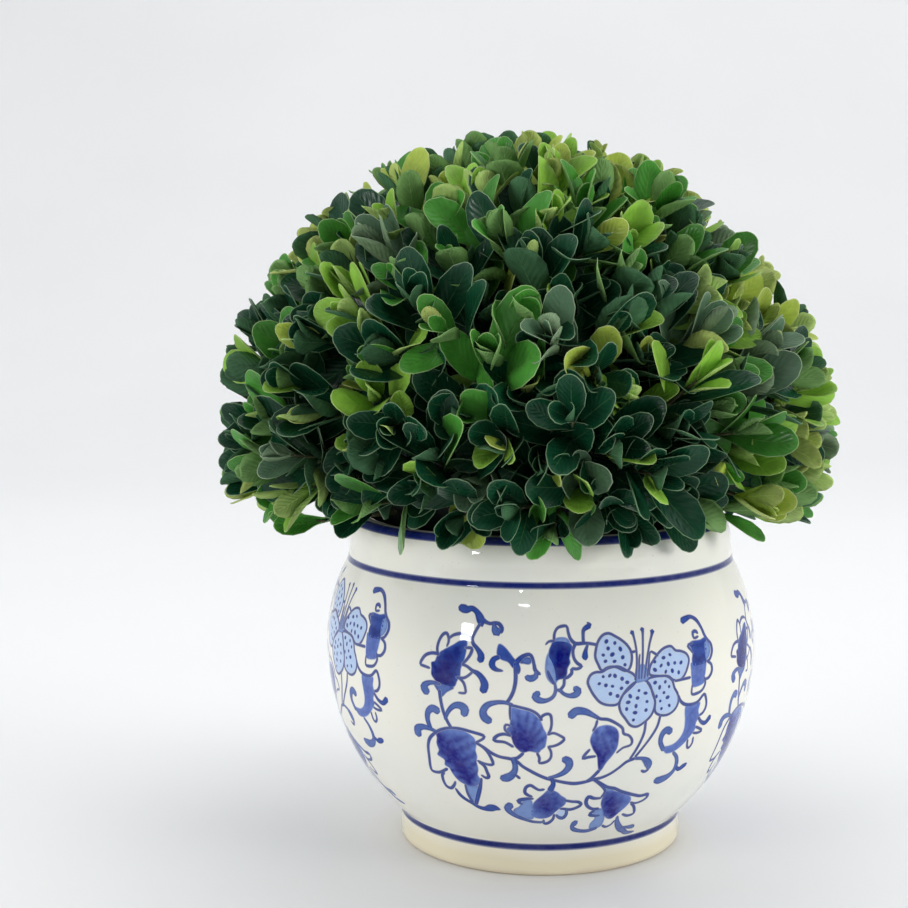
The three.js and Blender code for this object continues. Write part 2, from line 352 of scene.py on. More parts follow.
class Tone(Enum):
    """Strengths of the blue, as its light and its dark colour."""

    INK = ((0.030, 0.080, 0.36), (0.003, 0.018, 0.185))
    CURL = ((0.085, 0.150, 0.42), (0.006, 0.030, 0.22))
    DEEP = ((0.030, 0.090, 0.38), (0.000, 0.000, 0.145))
    VIOLET = ((0.120, 0.200, 0.54), (0.010, 0.010, 0.20))
    WASH = ((0.180, 0.285, 0.58), (0.050, 0.100, 0.36))
    PALE = ((0.44, 0.575, 0.82), (0.25, 0.38, 0.70))
    DOT = ((0.015, 0.055, 0.33), (0.004, 0.020, 0.20))
    BAND = ((0.020, 0.040, 0.23), (0.005, 0.013, 0.13))


@dataclass(frozen=True)
class PaintFinish:
    """Cobalt under the glaze: the mesh's ink value fades it out, and its pool value darkens it."""

    tone: Tone
    glaze: GlazeFinish = GlazeFinish()
    sheen: float = 0.22

    def make(self) -> bpy.types.Material:
        """The painted glaze in this tone."""
        nodes = Nodes("cobalt_" + self.tone.name.lower())
        ground, relief, rough = self.glaze.surface(nodes)
        nodes.set(Specular_IOR_Level=self.sheen, Coat_Weight=0.0)
        light, dark = self.tone.value
        brushed = nodes.noise(700.0, 2.0, 0.5)
        gathered = nodes.math("ADD", nodes.attribute("pool"), nodes.span(brushed, 0.3, 0.7, -0.15, 0.15))
        gathered = nodes.math("MINIMUM", nodes.math("MAXIMUM", gathered, 0.0), 1.0)
        cobalt = nodes.mix(gathered, light, dark)
        patchy = nodes.span(nodes.noise(260.0, 3.0), 0.25, 0.6, 0.965, 1.0)
        cover = nodes.math("MULTIPLY", nodes.attribute("ink"), patchy)
        return nodes.finish(nodes.mix(cover, ground, cobalt), relief, rough)


@dataclass(frozen=True)
class LeafFinish:
    """One tint of box leaf: a half-gloss front with side veins, a dull back, a pale midrib, and a margin
    painted pale as a rim highlight.
    """

    name: str
    front: Colour
    back: Colour
    # The margin's colour is a painted rim highlight, paler than the blade.
    margin: Colour
    midrib: Colour
    roughness: float

    # What all tints share. Depths of relief are millimetres, and waves of veins are counted in radians.
    SHEEN = 0.27
    BACK_ROUGHNESS = 0.62
    FRONT_VEINS = 0.08
    BACK_VEINS = 0.12
    GRAIN = 0.04
    VEIN_WAVES = 60.0
    VEIN_SLANT = 36.0
    VEIN_COVER = 0.16
    MIDRIB_COVER = 0.85
    MIDRIB_WIDTH = (0.042, 0.008)

    def _blade(self, part: str, colour: Colour, rib: Colour, rough: float,
               veins: float) -> bpy.types.Material:
        """A blade's side: its tint with slow cloudy change, a midrib that thins out, and side veins.

        Args:
            part: the side's name.
            colour: its tint.
            rib: the midrib's colour.
            rough: its roughness.
            veins: depth of the side veins in millimetres.

        Returns:
            The material.
        """
        nodes = Nodes(f"leaf_{self.name}_{part}")
        nodes.set(IOR=1.45, Specular_IOR_Level=self.SHEEN)
        stops = ((0.3, shaded(colour, 0.62)), (0.52, colour), (0.72, shaded(colour, 1.35, 0.006)))
        clouds = nodes.ramp(nodes.noise(75.0, 3.0, 0.6), stops)
        flat = nodes.node("SeparateXYZ", {0: nodes.node("UVMap", uv_map="UVMap").outputs["UV"]}).outputs
        side = nodes.math("ABSOLUTE", nodes.math("SUBTRACT", flat["Y"], 0.5))
        slant = nodes.math("MULTIPLY", side, self.VEIN_SLANT)
        run = nodes.math("SUBTRACT", nodes.math("MULTIPLY", flat["X"], self.VEIN_WAVES), slant)
        vein = nodes.math("MULTIPLY_ADD", nodes.math("SINE", run), 0.5)
        relief = nodes.bump(vein, veins, 0.7)
        taper = nodes.span(flat["X"], 0.0, 1.0, *self.MIDRIB_WIDTH)
        middle = nodes.span(nodes.math("DIVIDE", side, taper), 1.0, 0.55)
        crests = nodes.math("MULTIPLY", nodes.span(vein, 0.86, 1.0), self.VEIN_COVER)
        veined = nodes.mix(crests, clouds, rib)
        tinted = nodes.mix(nodes.math("MULTIPLY", middle, self.MIDRIB_COVER), veined, rib)
        ribbed = nodes.bump(middle, veins, 1.0, relief)
        grain = nodes.bump(nodes.noise(900.0, 2.0), self.GRAIN, 0.5, ribbed)
        dull = nodes.span(nodes.noise(160.0, 2.0), 0.3, 0.7, rough - 0.06, rough + 0.1)
        return nodes.finish(tinted, grain, dull)

    def make(self) -> list[bpy.types.Material]:
        """Front, margin and back, in the order of the leaf's slots."""
        front = self._blade("front", self.front, self.midrib, self.roughness, self.FRONT_VEINS)
        pale = shaded(self.back, 1.5, 0.02)
        back = self._blade("back", self.back, pale, self.BACK_ROUGHNESS, self.BACK_VEINS)
        # The margin's pale colour is a painted rim highlight.
        nodes = Nodes(f"leaf_{self.name}_margin")
        nodes.set(IOR=1.45, Roughness=0.5)
        stops = ((0.35, shaded(self.margin, 0.7)), (0.65, self.margin))
        return [front, nodes.finish(nodes.ramp(nodes.noise(110.0, 2.0), stops)), back]


@dataclass(frozen=True)
class BarkFinish:
    """Dry bark: two colours in lengthwise streaks, with relief."""

    name: str
    light: Colour
    dark: Colour
    streak: float = 500.0
    depth: float = 0.35

    def make(self) -> bpy.types.Material:
        """The bark's material."""
        nodes = Nodes(self.name)
        nodes.set(Roughness=0.85, Specular_IOR_Level=0.25)
        grain = nodes.noise(self.streak, 5.0, 0.65, (1.0, 1.0, 0.22), 0.6)
        colour = nodes.ramp(grain, ((0.3, self.dark), (0.68, self.light)))
        return nodes.finish(colour, nodes.bump(grain, self.depth))


@dataclass(frozen=True)
class MatFinish:
    """A dull crumbly matter, such as dry foam, or the ball's heart, coloured near-black as painted shade."""

    name: str
    light: Colour
    dark: Colour
    scale: float = 300.0
    depth: float = 0.8

    def make(self) -> bpy.types.Material:
        """The matter's material."""
        nodes = Nodes(self.name)
        nodes.set(Roughness=0.95, Specular_IOR_Level=0.15)
        lumps = nodes.noise(self.scale, 5.0, 0.7)
        cells = nodes.node("TexVoronoi", {"Scale": self.scale * 2.2, "Vector": nodes.place()})
        colour = nodes.ramp(lumps, ((0.32, self.dark), (0.7, self.light)))
        relief = nodes.bump(lumps, self.depth)
        return nodes.finish(colour, nodes.bump(cells.outputs["Distance"], 0.25, 0.6, relief))


# The pot


@dataclass
class Pot:
    """The glazed pot: a profile turned about Z. Its belly is two arcs that share the widest ring."""

    foot_radius: float = 46.3
    belly_radius: float = 70.2
    belly_height: float = 65.0
    curve_below: float = 75.0
    curve_above: float = 59.0
    neck_height: float = 93.2
    collar_radius: float = 62.5
    collar_height: float = 99.0
    rim_radius: float = 57.6
    rim_height: float = 107.6
    mouth_radius: float = 55.0
    lip: float = 2.6
    # What draws the curve from collar to rim out of its straight line, at each end.
    collar_pull: tuple[float, float] = (-0.2, 5.2)
    rim_pull: tuple[float, float] = (3.6, -0.1)
    foot_height: float = 8.4
    foot_blend: float = 1.4
    wall: float = 5.0
    floor: float = 8.0
    around: int = 300
    slope_step: float = 0.05

    def radius(self, height: np.ndarray) -> np.ndarray:
        """The outer radius of belly and collar: the widest radius less the fall of the arc on that side."""
        z = np.asarray(height, float)
        curve = np.where(z < self.belly_height, self.curve_below, self.curve_above)
        fall = curve - np.sqrt(np.maximum(curve**2 - (z - self.belly_height) ** 2, 0.0))
        arc = self.belly_radius - fall
        soft = np.clip(self.foot_blend - np.abs(arc - self.foot_radius), 0.0, None)
        belly = np.maximum(arc, self.foot_radius) + soft**2 / (4 * self.foot_blend)
        neck = self.belly_radius - self.curve_above + math.sqrt(
            self.curve_above**2 - (self.neck_height - self.belly_height) ** 2)
        part = np.clip((z - self.neck_height) / (self.collar_height - self.neck_height), 0.0, 1.0)
        collar = neck + (self.collar_radius - neck) * part
        return np.where(z > self.neck_height, collar, belly)

    def outline(self) -> np.ndarray:
        """The profile from the middle of the underside, up the outside, over the rim and down inside."""
        low = [(0, 0), (12, 0), (25, 0), (36.3, 0), (36.6, 0.15), (37.1, 0.8), (37.6, 0.9), (38.4, 0.9),
               (38.9, 0.8), (39.4, 0.15), (39.7, 0), (42, 0), (44.6, 0), (45.4, 0.12), (46.0, 0.5),
               (46.25, 1.1)]
        foot = [(self.foot_radius, z) for z in np.linspace(1.8, self.foot_height, 9)]
        z = np.linspace(self.foot_height + 0.6, self.neck_height, 110)
        wall = np.stack([self.radius(z), z], -1)
        collar = np.array([self.collar_radius, self.collar_height])
        straight = wall[-1] + (collar - wall[-1]) * np.linspace(0, 1, 6)[1:, None]
        rim = np.array([self.rim_radius, self.rim_height])
        s = np.linspace(0, 1, 26)[:, None]
        rest = 1 - s
        turn_in = (rest**3 * collar + 3 * rest**2 * s * (collar + self.collar_pull)
                   + 3 * rest * s**2 * (rim + self.rim_pull) + s**3 * rim)
        angle = np.linspace(math.pi / 2, math.pi, 12)[1:, None]
        lip = rim - [0, self.lip] + self.lip * np.concatenate([np.cos(angle), np.sin(angle)], 1)
        inside_z = np.linspace(self.rim_height - 10, self.floor + 4, 26)
        inside_r = self.radius(np.minimum(inside_z, self.neck_height)) - self.wall
        throat = [(self.mouth_radius, z) for z in (104, 102.5, 101)] + [(self.mouth_radius + 0.8, 99.3)]
        corner = inside_r[-1]
        tail = [(corner - 1.2, self.floor + 1.6), (corner - 4, self.floor), (corner / 2, self.floor),
                (0, self.floor)]
        inside = np.stack([inside_r, inside_z], -1)
        parts = [low, foot, wall, straight, turn_in[1:], lip, throat, inside, tail]
        return np.concatenate([np.asarray(p, float) for p in parts])

    def build(self, glaze: bpy.types.Material) -> bpy.types.Object:
        """Turns the outline about Z: each point is its radius times cosine and sine, and its height."""
        outline = self.outline()
        ring = turned(outline[1:-1, :1], outline[1:-1, 1:], full_turn(self.around))
        rows = len(outline) - 2
        corners, counts = grid_faces(rows, self.around, wrap=True)
        points = np.concatenate([ring.reshape(-1, 3), [[0, 0, outline[0, 1]], [0, 0, outline[-1, 1]]]])
        place = np.arange(self.around)
        following = (place + 1) % self.around
        under = np.stack([following, place, np.full_like(place, len(points) - 2)], -1)
        top = (rows - 1) * self.around
        over = np.stack([top + place, top + following, np.full_like(place, len(points) - 1)], -1)
        surface = Surface(points, np.concatenate([corners, under.ravel(), over.ravel()]),
                          np.concatenate([counts, np.full(2 * self.around, 3)]))
        return Builder.piece("pot_body", surface, [glaze], "pot_glaze", ["pot"])

    def place(self, across: np.ndarray, height: np.ndarray,
              lift: np.ndarray) -> tuple[np.ndarray, np.ndarray]:
        """Carries flat painting onto the pot.

        A point's turn about Z is its distance across over the belly's rounded radius. It stands off the wall
        by lift along the wall's normal, which is the profile's slope turned a quarter.

        Args:
            across: distance along the belly's ring, in mm, from the front.
            height: height on the pot, in mm.
            lift: how far it stands off, in mm.

        Returns:
            The points and their unit normals.
        """
        turn, step = across / PAINT_RADIUS, self.slope_step
        slope = (self.radius(height + step) - self.radius(height - step)) / (2 * step)
        size = np.sqrt(1 + slope**2)
        out, up = 1 / size, -slope / size
        return turned(self.radius(height) + lift * out, height + lift * up, turn), turned(out, up, turn)


# The painting

PAINT_RADIUS = 70.0
PANEL_TURNS = 4

# Brush lines: the tone, then distance across, height and width at each point, in mm.
LINES = """
INK -25.3,87.4,1.9 -24.3,87.2,2.3 -23,87,1.9 -21.6,87.4,1.4 -20,86.6,1.5 -18.9,85.2,2.3 -18.2,83.9,2.4
    -17.9,82.9,1
INK -18.2,84.6,1.6 -16.8,83.9,1 -15.4,83.5,.8 -14,83.7,.9 -12.6,83.5,1 -11.7,82.3,1.1 -11.8,81.2,.8
CURL -14.2,83.2,1 -13.8,82,2 -13.2,81,2.2 -12.6,81.8,1.6
INK -18.6,83.2,.8 -19.8,81,.7 -20.6,79,.8 -20.2,77.6,1 -19.2,76.6,1.1 -18.2,75.4,1.5 -17.6,74.2,2
    -17.8,73.2,2
INK -31.2,73.4,.7 -31.7,75.4,.7 -31.3,77.6,.7 -30.3,79.4,.8 -29.1,80,.8 -28.3,79,.7 -28.1,77.6,.6
    -28.6,76.2,.4
INK -28.1,78.5,.6 -26.9,79.5,.7 -25.1,80.1,.8 -23.3,80.1,.7 -21.6,79.6,.6 -20.8,78.4,.6
INK -31,73.8,.9 -33.2,73.9,.8 -35.3,73.2,.8 -36.6,71.8,.8 -37.2,70.2,.7 -35.9,69.8,.7 -34,69.4,.6
INK -22.6,76.3,.6 -20.6,76.3,.8 -20.8,74.8,.8 -21.8,73.2,.7 -23.3,71.6,.7
INK -23.4,71.5,.7 -21.8,71,.7 -20.2,69.9,.9 -18.6,69.2,1.4 -17.2,67.8,1.8 -16.4,66,2.3 -16.8,64.4,2.2
INK -25,67.5,.8 -23,67.5,.7 -21.6,68.2,.6 -20.2,69.4,.6
INK -24.2,67.4,.7 -22.9,66.2,.7 -22.3,64.4,.6 -22.4,63.1,.6 -24.4,63,.5
CURL -35.2,62.3,2.4 -35.9,63.6,2.4 -34.6,64.8,1.5 -32.6,65.2,1.1 -30.4,64.9,.8
INK -30.6,63,1 -30.3,60,.9 -29.7,57,.9 -28.7,54.2,.9 -27.5,52,.9
CURL -29.2,54.6,1 -28,57,1.2 -26.2,58.8,1.6 -24.2,59.2,2.2 -22.7,58.2,2.7 -22.9,56.8,2.2
CURL -34.6,50.8,1.3 -35.3,53.6,1.5 -34.9,56,1.8 -33.3,57.3,2.2 -31.8,56.8,2.3
CURL -32.8,50.1,.9 -35.2,50.8,1.3 -37.6,50.9,1.8 -39.4,50,2.5 -39.5,48.5,2.5
INK -33.4,49.5,.9 -31,50.9,.8 -28,51.8,.7 -24.6,51.9,.8 -21,51.3,.8 -17.3,50.4,.8 -17.6,49.3,.6
    -19.8,48,.6
INK -20,48,.7 -17.6,46.6,.8 -16,44.6,.8 -14.9,41.6,.8 -15.9,41,.7 -17.8,41.3,.6 -19.8,42,.6
INK -19.4,41.7,.8 -17.8,40.4,.9 -17.2,38.6,.9 -16.8,36.9,1 -17.8,36.4,.8 -19.2,37.2,.5
INK -33.2,49.6,.8 -35.3,47.6,.9 -36.4,45,.8 -36.9,41,.8 -37.3,37,.8 -36,36.2,.8 -33.8,36.5,.8 -31,38,.8
INK -32.4,36.4,.6 -33.4,35.6,.9 -33.6,33.6,.9 -33,31.7,.9 -31.4,31.2,.9 -29.9,32.4,.8 -29,33.8,.6
INK -29.6,31.2,.7 -28.6,29.2,1.2 -27,27.8,1.1 -24.8,26.6,1.1 -22.8,25.4,1.2 -20.4,24.9,1.5
    -18.2,25.4,2.6 -16.3,25.6,2 -14.7,25.1,.6
INK -25.5,33.2,.7 -25.4,30,.9 -24.4,27,1.1
INK -19.4,36,.7 -20.4,32.8,1.2 -21.6,30,1.4 -23.2,26.6,1.2
INK -19.6,47.9,.6 -17.4,46.6,.8 -15.2,45,.9 -12.6,43.9,.8 -9.4,43.4,.9 -7.4,42.6,.9 -5.6,41,.8
    -3,39.4,.9 -.4,38,.9 2,37,.9 4.6,36.3,.8 8,35.5,.9 11,35.1,1 14.4,35.5,.9 17,36.2,.9 19.6,36.6,.8
    22.4,37.7,.7 25,39.4,.7 27.4,41.2,.8 30,42,.9
INK -9,43.4,.9 -7.2,43.8,.9 -5.4,45.4,.8
INK -12.4,74.2,1.2 -13.8,73.5,1.5 -14.3,71.9,1.8 -13.2,70.7,1.2 -11.1,70.3,.4
INK -6.8,73.2,1.5 -5.3,74.6,1.1 -3.4,75.2,.9 -2.5,74.3,.8 -2,72.4,.8 -1.6,70.7,1 -.3,69.6,.7
CURL -1.4,70.2,.9 -1.5,69,1.5 -2.9,68.3,1.9 -4,68.6,1.5
INK -7.2,72.4,1.5 -6.6,70.9,1.4 -6.5,69.7,.5
INK -7.4,71.6,1 -7.3,68,1 -7.8,65,.9 -8.8,62.6,.9 -10,60.9,.8
CURL -8.2,60.3,.8 -10.4,61,1 -13,60.9,1.2 -15.6,60,1.7 -17,58.1,2.1 -16.7,56.2,2.5 -15.5,55.3,2.3
INK -9.3,60.4,.7 -6,59.7,.7 -3,58.9,.7 -1,57.7,.7 .2,56,.7
INK -8.9,60.2,.6 -9,58,.6 -8.9,55.8,.5
INK 3.9,79.4,.7 4.1,81.2,.6 5,82.6,.6 6.4,83.1,.7 7.8,83,.6 8.2,81.2,.7 8.8,79.5,.8 10.2,78.2,.9
    12.4,78.2,.8 14.2,78.1,.7 16.6,77.6,.7
INK 3.9,79,.7 2.4,78.9,.5 1.4,78,.3
INK 10.2,78.2,.9 9.4,76.4,.8 9.6,74.2,.7 10.5,72.7,.8 11.8,71.7,.8 10.6,71,.7 9,71,.8 8.9,69.8,.8
    7.8,68.7,.8 6.8,68.2,.7 6.6,66.4,.7 5.6,65,.7
INK 12.6,78.1,.8 12.6,80.2,.8 12.8,81.8,1 13.8,82.6,1.3 14.9,83.1,1.2 14.2,83.8,.6
INK 13.9,77.9,.5 13.2,76.2,1 12.9,74.5,1.7 13,74,1.4
CURL 4,67,.6 4.2,64.8,.8 3.5,63,.9 1.7,61.9,1.1 -.4,61.9,1.8 -1.7,63,2 -.9,64,1.6
CURL 4.4,65,.6 5.5,64.8,.9 6.6,63.8,.9 8.2,63.2,1.2 10,63.5,1.9 10.7,64.6,2.1 10,65.3,1.6
INK -.2,55.8,.6 .2,57,.7 1.6,57.8,.7 2.8,57.4,.7 3.1,55,.6 2.8,53,.6 2.1,51.6,.6
INK 2,51.4,.6 3.6,51.9,.6 5.4,51.2,.6 6.9,50,.7 5.6,48.6,.7 3.8,47.8,.6 2.2,47.6,.6
INK 2.2,47.6,.6 3,46,.6 3,44.2,.6 1.9,42.8,.7 -.4,42.3,.7 -.5,44,.7 -1.2,45.6,.6
INK -8.8,50.8,.6 -10.8,51.3,.8 -12.8,50.8,.8 -14.1,49.5,1 -13.4,48.9,.8 -10.8,48.7,.7 -8.4,47.4,.7
INK -8.9,54,.5 -10.4,54.2,.6 -10.6,52.6,.6 -9.2,51.4,.5
CURL -8.4,43,1.6 -8,41.4,1.6 -8.2,39.5,1.8 -9.4,37.8,2.4 -11,36.9,2.7 -12.2,36.7,2.1
INK -8.2,38.2,.6 -6.8,37,.8
CURL 2.4,37.2,.9 5.2,38,1.2 7.4,39.2,1.7 8.7,41,2.2 8.5,42.7,2.5 7.4,43.4,2.2
INK 3.4,37,1.2 4,35.2,1.4 3.2,33.2,2
CURL -10.8,26.9,2.4 -11.9,25.8,2.4 -10.8,24.2,1.9 -8.4,22.7,1.4 -5.4,21.6,1.1 -3,20.9,.9 0,20.7,.8
    1.3,21,.7
INK 1,33.2,.7 -.6,33,.7 -1.9,33.7,.8 -3.4,34.6,.9 -4.9,33.8,.9 -5.3,32,1 -4.2,31,.9 -3,30.6,.6
INK -2.6,29.8,.6 -4.8,29.7,1 -7.8,28.8,1.2 -6.4,27.6,.7
INK 8.3,29.1,.7 10.6,28.6,.8 13,28.3,.9 14.1,27.3,1 12.6,26.2,.9 10.4,25.6,.9 8.2,25.9,.8 6.8,26,.6
CURL 9.1,25.6,.9 9.2,23.8,1.1 8.2,22.4,1.2 6.7,22.6,1.1 5.6,23.6,.8
INK 4.8,23.8,.7 4.5,22,.9 3,20.5,1 1.4,20.2,.9 1,21.6,.7
CURL 8.9,57.4,2.4 10.3,58.5,2.4 12.8,58.3,2 15.2,57.1,1.3 17.2,55.9,.9
INK 16.4,56.4,.8 17.6,55.8,.8 20,55.4,.8 22.6,54,.7 24.6,52.4,.7 25.2,50.6,.7 27,49.8,.6 28.2,48.2,.7
    27.9,46.7,.6 25.4,46,.5 23.6,44.6,.5
INK 16.6,55.4,.6 16.2,53.6,.6 15.4,52.2,.5
INK 14.8,46.3,.6 13.5,44.8,.8 12.9,43.5,.8 14.4,43.8,.8 16.8,44,.6
INK 14.6,35.6,.7 16.4,36.8,.9 18.4,39,1
INK 32.2,53.8,.7 32.1,50.4,.7 31.2,47.4,.7 29.8,44.4,.7 28.4,42,.7
INK 37.2,54.8,.7 36.5,51.6,.7 34.8,48.6,.7 32.6,45.6,.6 30.2,42.6,.7
CURL 30.4,42,.9 32.8,41.7,1 34.8,40.8,1.6 36,39.4,2 36,38.2,1.6
INK 33.5,37.5,.6 34.9,36.9,.8 36.2,37.6,.7
INK 17.2,36.1,.9 19.4,34.7,1 22.2,33.1,.9 25,32.3,.9 27.6,31,.9 30.4,29.9,1 33.4,28.9,.9 36.4,28.1,.9
    39.2,28.2,1.1 39.7,27,1 38,25.9,.7 35.4,25.5,.6 33.2,26.2,.5
INK 18,35.5,.8 20.4,33.5,.8 21.8,31.6,.8 20.8,29.4,.6
INK 20.8,29.2,.6 18.4,29.3,.9 16.3,30,1.2 15.7,28.2,1.2 16.6,26.5,1 18.6,25.3,.9 20.8,25.2,.9
INK 19.6,24.8,.8 18.1,23.2,1.2 19.6,22.6,1 22,22.4,.8
CURL 22.8,17.2,1.2 19.4,16.3,1.3 16,16.5,1.3 13.2,17.4,1.6 12.3,18.6,1.5 12.9,19.8,2.3 13.4,20.3,1.8
INK 25,18,.7 26.8,17.2,.8 28.6,17.8,.7 29.6,19.4,.7
INK 31.8,21.8,.6 34.4,20.8,.9 37,21.2,.9 36.4,23,.9 35,24.7,.8 33.6,25.6,.6
CURL 30,21,.9 31,18.8,1.7 32.8,16.8,2.1 35,15.2,2.1 37.6,13.9,1.7 40,12.7,1.5 43,12.3,1.2 45,12.2,.6
CURL 35,15.8,.9 38,15.5,1.2 40.4,15.3,1.8 42,14.8,1
INK 46.9,81.9,1.8 48.4,82.3,1.6 50.6,82.6,1 52.8,81.4,1.1 54.4,79,.9 55.4,76.6,.9 56.6,75,.8
    57.9,73.6,.9 58.2,71.4,.9 57,69.3,.8 55.6,68.7,.7
INK 55.6,68.8,.7 57.5,67.5,.8 57.8,65.4,.9 56.4,63.7,.8 54.4,63.4,.7
INK 54.3,64,.7 54.7,62,.7 53.3,60.2,.7 50.8,59.6,.8 48.9,59.9,.6 49,62.6,.5
INK 52.4,76.6,.6 50.6,76.4,.6 50.3,78,.9 51.6,78.3,.9 52.4,77.6,.7
INK 42,64.8,.6 44.6,64.9,.7 48,65,.7
INK 49.8,75,.6 47.6,74.6,.7 48.8,73,.6 49.6,72,.5
INK 43.4,60.2,.7 44.6,58.2,.8 46.6,56.9,.9 49.4,56.5,.9 52,57,.8 54.5,58.8,.8 55.8,56.8,.8 56,54.6,.8
    54.9,52.9,.8 53.4,52.4,.7
CURL 40.2,43.6,1.4 38.6,46.2,1.5 38.8,48.7,1.9 40.3,49.9,2.2 41.7,49.2,2.1
INK 53,51.8,.8 54.8,50,1 57,49.3,1.4 58.8,50.6,1.8
INK 52.6,48.8,.7 54.8,47.8,.7 56,46.9,.7 54,46.6,.7 51.8,47,.6
INK 50,45,.7 50.4,43,.7 51.4,42.1,.7 52.6,43.4,.7 52.4,45.4,.6
CURL 44.8,41.8,.9 46.8,39.9,1.2 47.8,37.4,1.5 47.4,35,1.6 45.4,33.4,2.2 42.6,32.8,2.7 40.8,33,2
INK 47.8,36.6,.9 49.6,35.3,1.3 51.4,35.8,1.8 52.8,36.3,1.2
INK 28.2,66.8,.6 28.8,71,.5 28.9,75.5,.5 28.4,79.4,.6 28,80.4,1.3
INK 29.4,67,.5 29.6,72,.45 30,74,.3
INK 30.2,67,.5 30.8,72.5,.5 31.3,77.5,.5 31.6,80.2,.7 31.5,81,1.3
INK 31.2,67,.5 32.1,71.8,.5 33.4,76.4,.5 34.6,79.2,.7 34.9,80.1,1.4
INK 32.2,67.4,.6 32.6,70,.5 33.4,74.2,.4 34.8,73.9,.6 36,73,.6
INK 27,74.8,.7 28.8,75,.5
INK 1.9,70.6,.7 2.7,68.6,1 3.8,66.7,.7
"""

# Feathers, the darker strokes in the fills: distance across, height and width at each point.
FEATHERS = """
feather -32.4,49,3 -31,46.6,4 -29.4,44,4 -27.4,41,3.6 -25.4,38,3.2 -24,34.4,2.4
feather -20.8,47.6,1.1 -23.6,46,1.7 -27.6,43.6,2.2
feather -20,44.6,1.1 -22.8,42.6,1.7 -26.4,40.6,2.2
feather -20.2,41.6,1.1 -22.4,39.8,1.7 -25.4,38.2,2.2
feather -20.2,38.4,1.1 -22,37,1.6 -24.4,35.6,1.8
feather -22.6,49.8,1 -26,48.2,1.8 -29.4,46.6,2.2
feather -33,43.4,.9 -31,43.6,1.3
feather -31.4,40.4,.8 -29.6,40.9,1.2
feather -29.8,37.6,.8 -28,38,1.1 -26.4,38.6,1.2
feather -28.4,35.2,.8 -26.6,35.6,1.1
feather -8.4,50.4,2.2 -6.6,48,3 -4.4,47.2,3
feather -8.6,55.6,1.2 -8,52.8,1.8 -7,49.6,2.4
feather -6.6,58.2,.9 -6.4,54.8,1.4 -6,51,2
feather -3.8,58,.8 -4.2,54.6,1.3 -5,50.6,1.8
feather -1.4,56.6,.8 -2.2,53.6,1.2 -4,49.8,1.7
feather .6,54.4,.8 -.8,51.8,1.1 -3.2,48.8,1.6
feather 1.4,50.6,.8 -.6,49,1.1 -3,47.6,1.4
feather 15.2,49,1.6 16.6,46.4,2.6 17.9,43.4,3 18.5,40.4,1.8
feather 16.4,52,1.2 17,49.6,1.4
feather 19.4,53.2,1 20.4,52,1.8 22.4,50.8,2.2 23.4,48.4,1.4
feather 18.4,50.6,1 19.6,47.8,1.3 21,44.8,1.4
feather 21.4,48.4,.9 22.2,46.4,1.1
feather 19.6,44.4,1.4 19.2,41.8,1.4
feather -30.6,66.4,3 -29.6,69.4,3.4 -28,72.4,3 -26,75,2
feather -28,72.4,1.6 -25.6,75.4,1.5 -23,77.6,.9
feather -29,70,1.5 -28.9,73,1.2 -28.8,75.2,.8
feather -30,69,1.5 -30.8,71.6,1.2 -31.1,73.6,.8
feather -30.4,67.6,1.6 -32,69.6,1.5 -33.2,71,1
feather -31,66.4,1.6 -33,68,1.4
feather -28.4,66,1.6 -26.2,68.6,1.6 -24.6,71.4,1.1
feather -27.8,69.6,1.6 -25.4,72.6,1.4 -23.6,75.6,1
feather -29,65.6,1.4 -26.4,66,1.2
feather 5.8,77.4,4 5.8,74,4.4 5.6,71,3
feather 3.4,77.6,1.2 3.2,75,1.4
feather 7.8,77,1.6 7.6,73,1.4
feather 7.2,71.6,1 5.6,69,1.6
feather 50,71,1.4 52,69.6,2.2 54.4,70.4,1.4
feather 49.6,74.6,1 52.4,74,1.4 55,74.8,1
feather 24.4,28.4,6 26,25.6,6 27.6,22.6,3
feather .8,27.8,6 2.4,26,6
"""

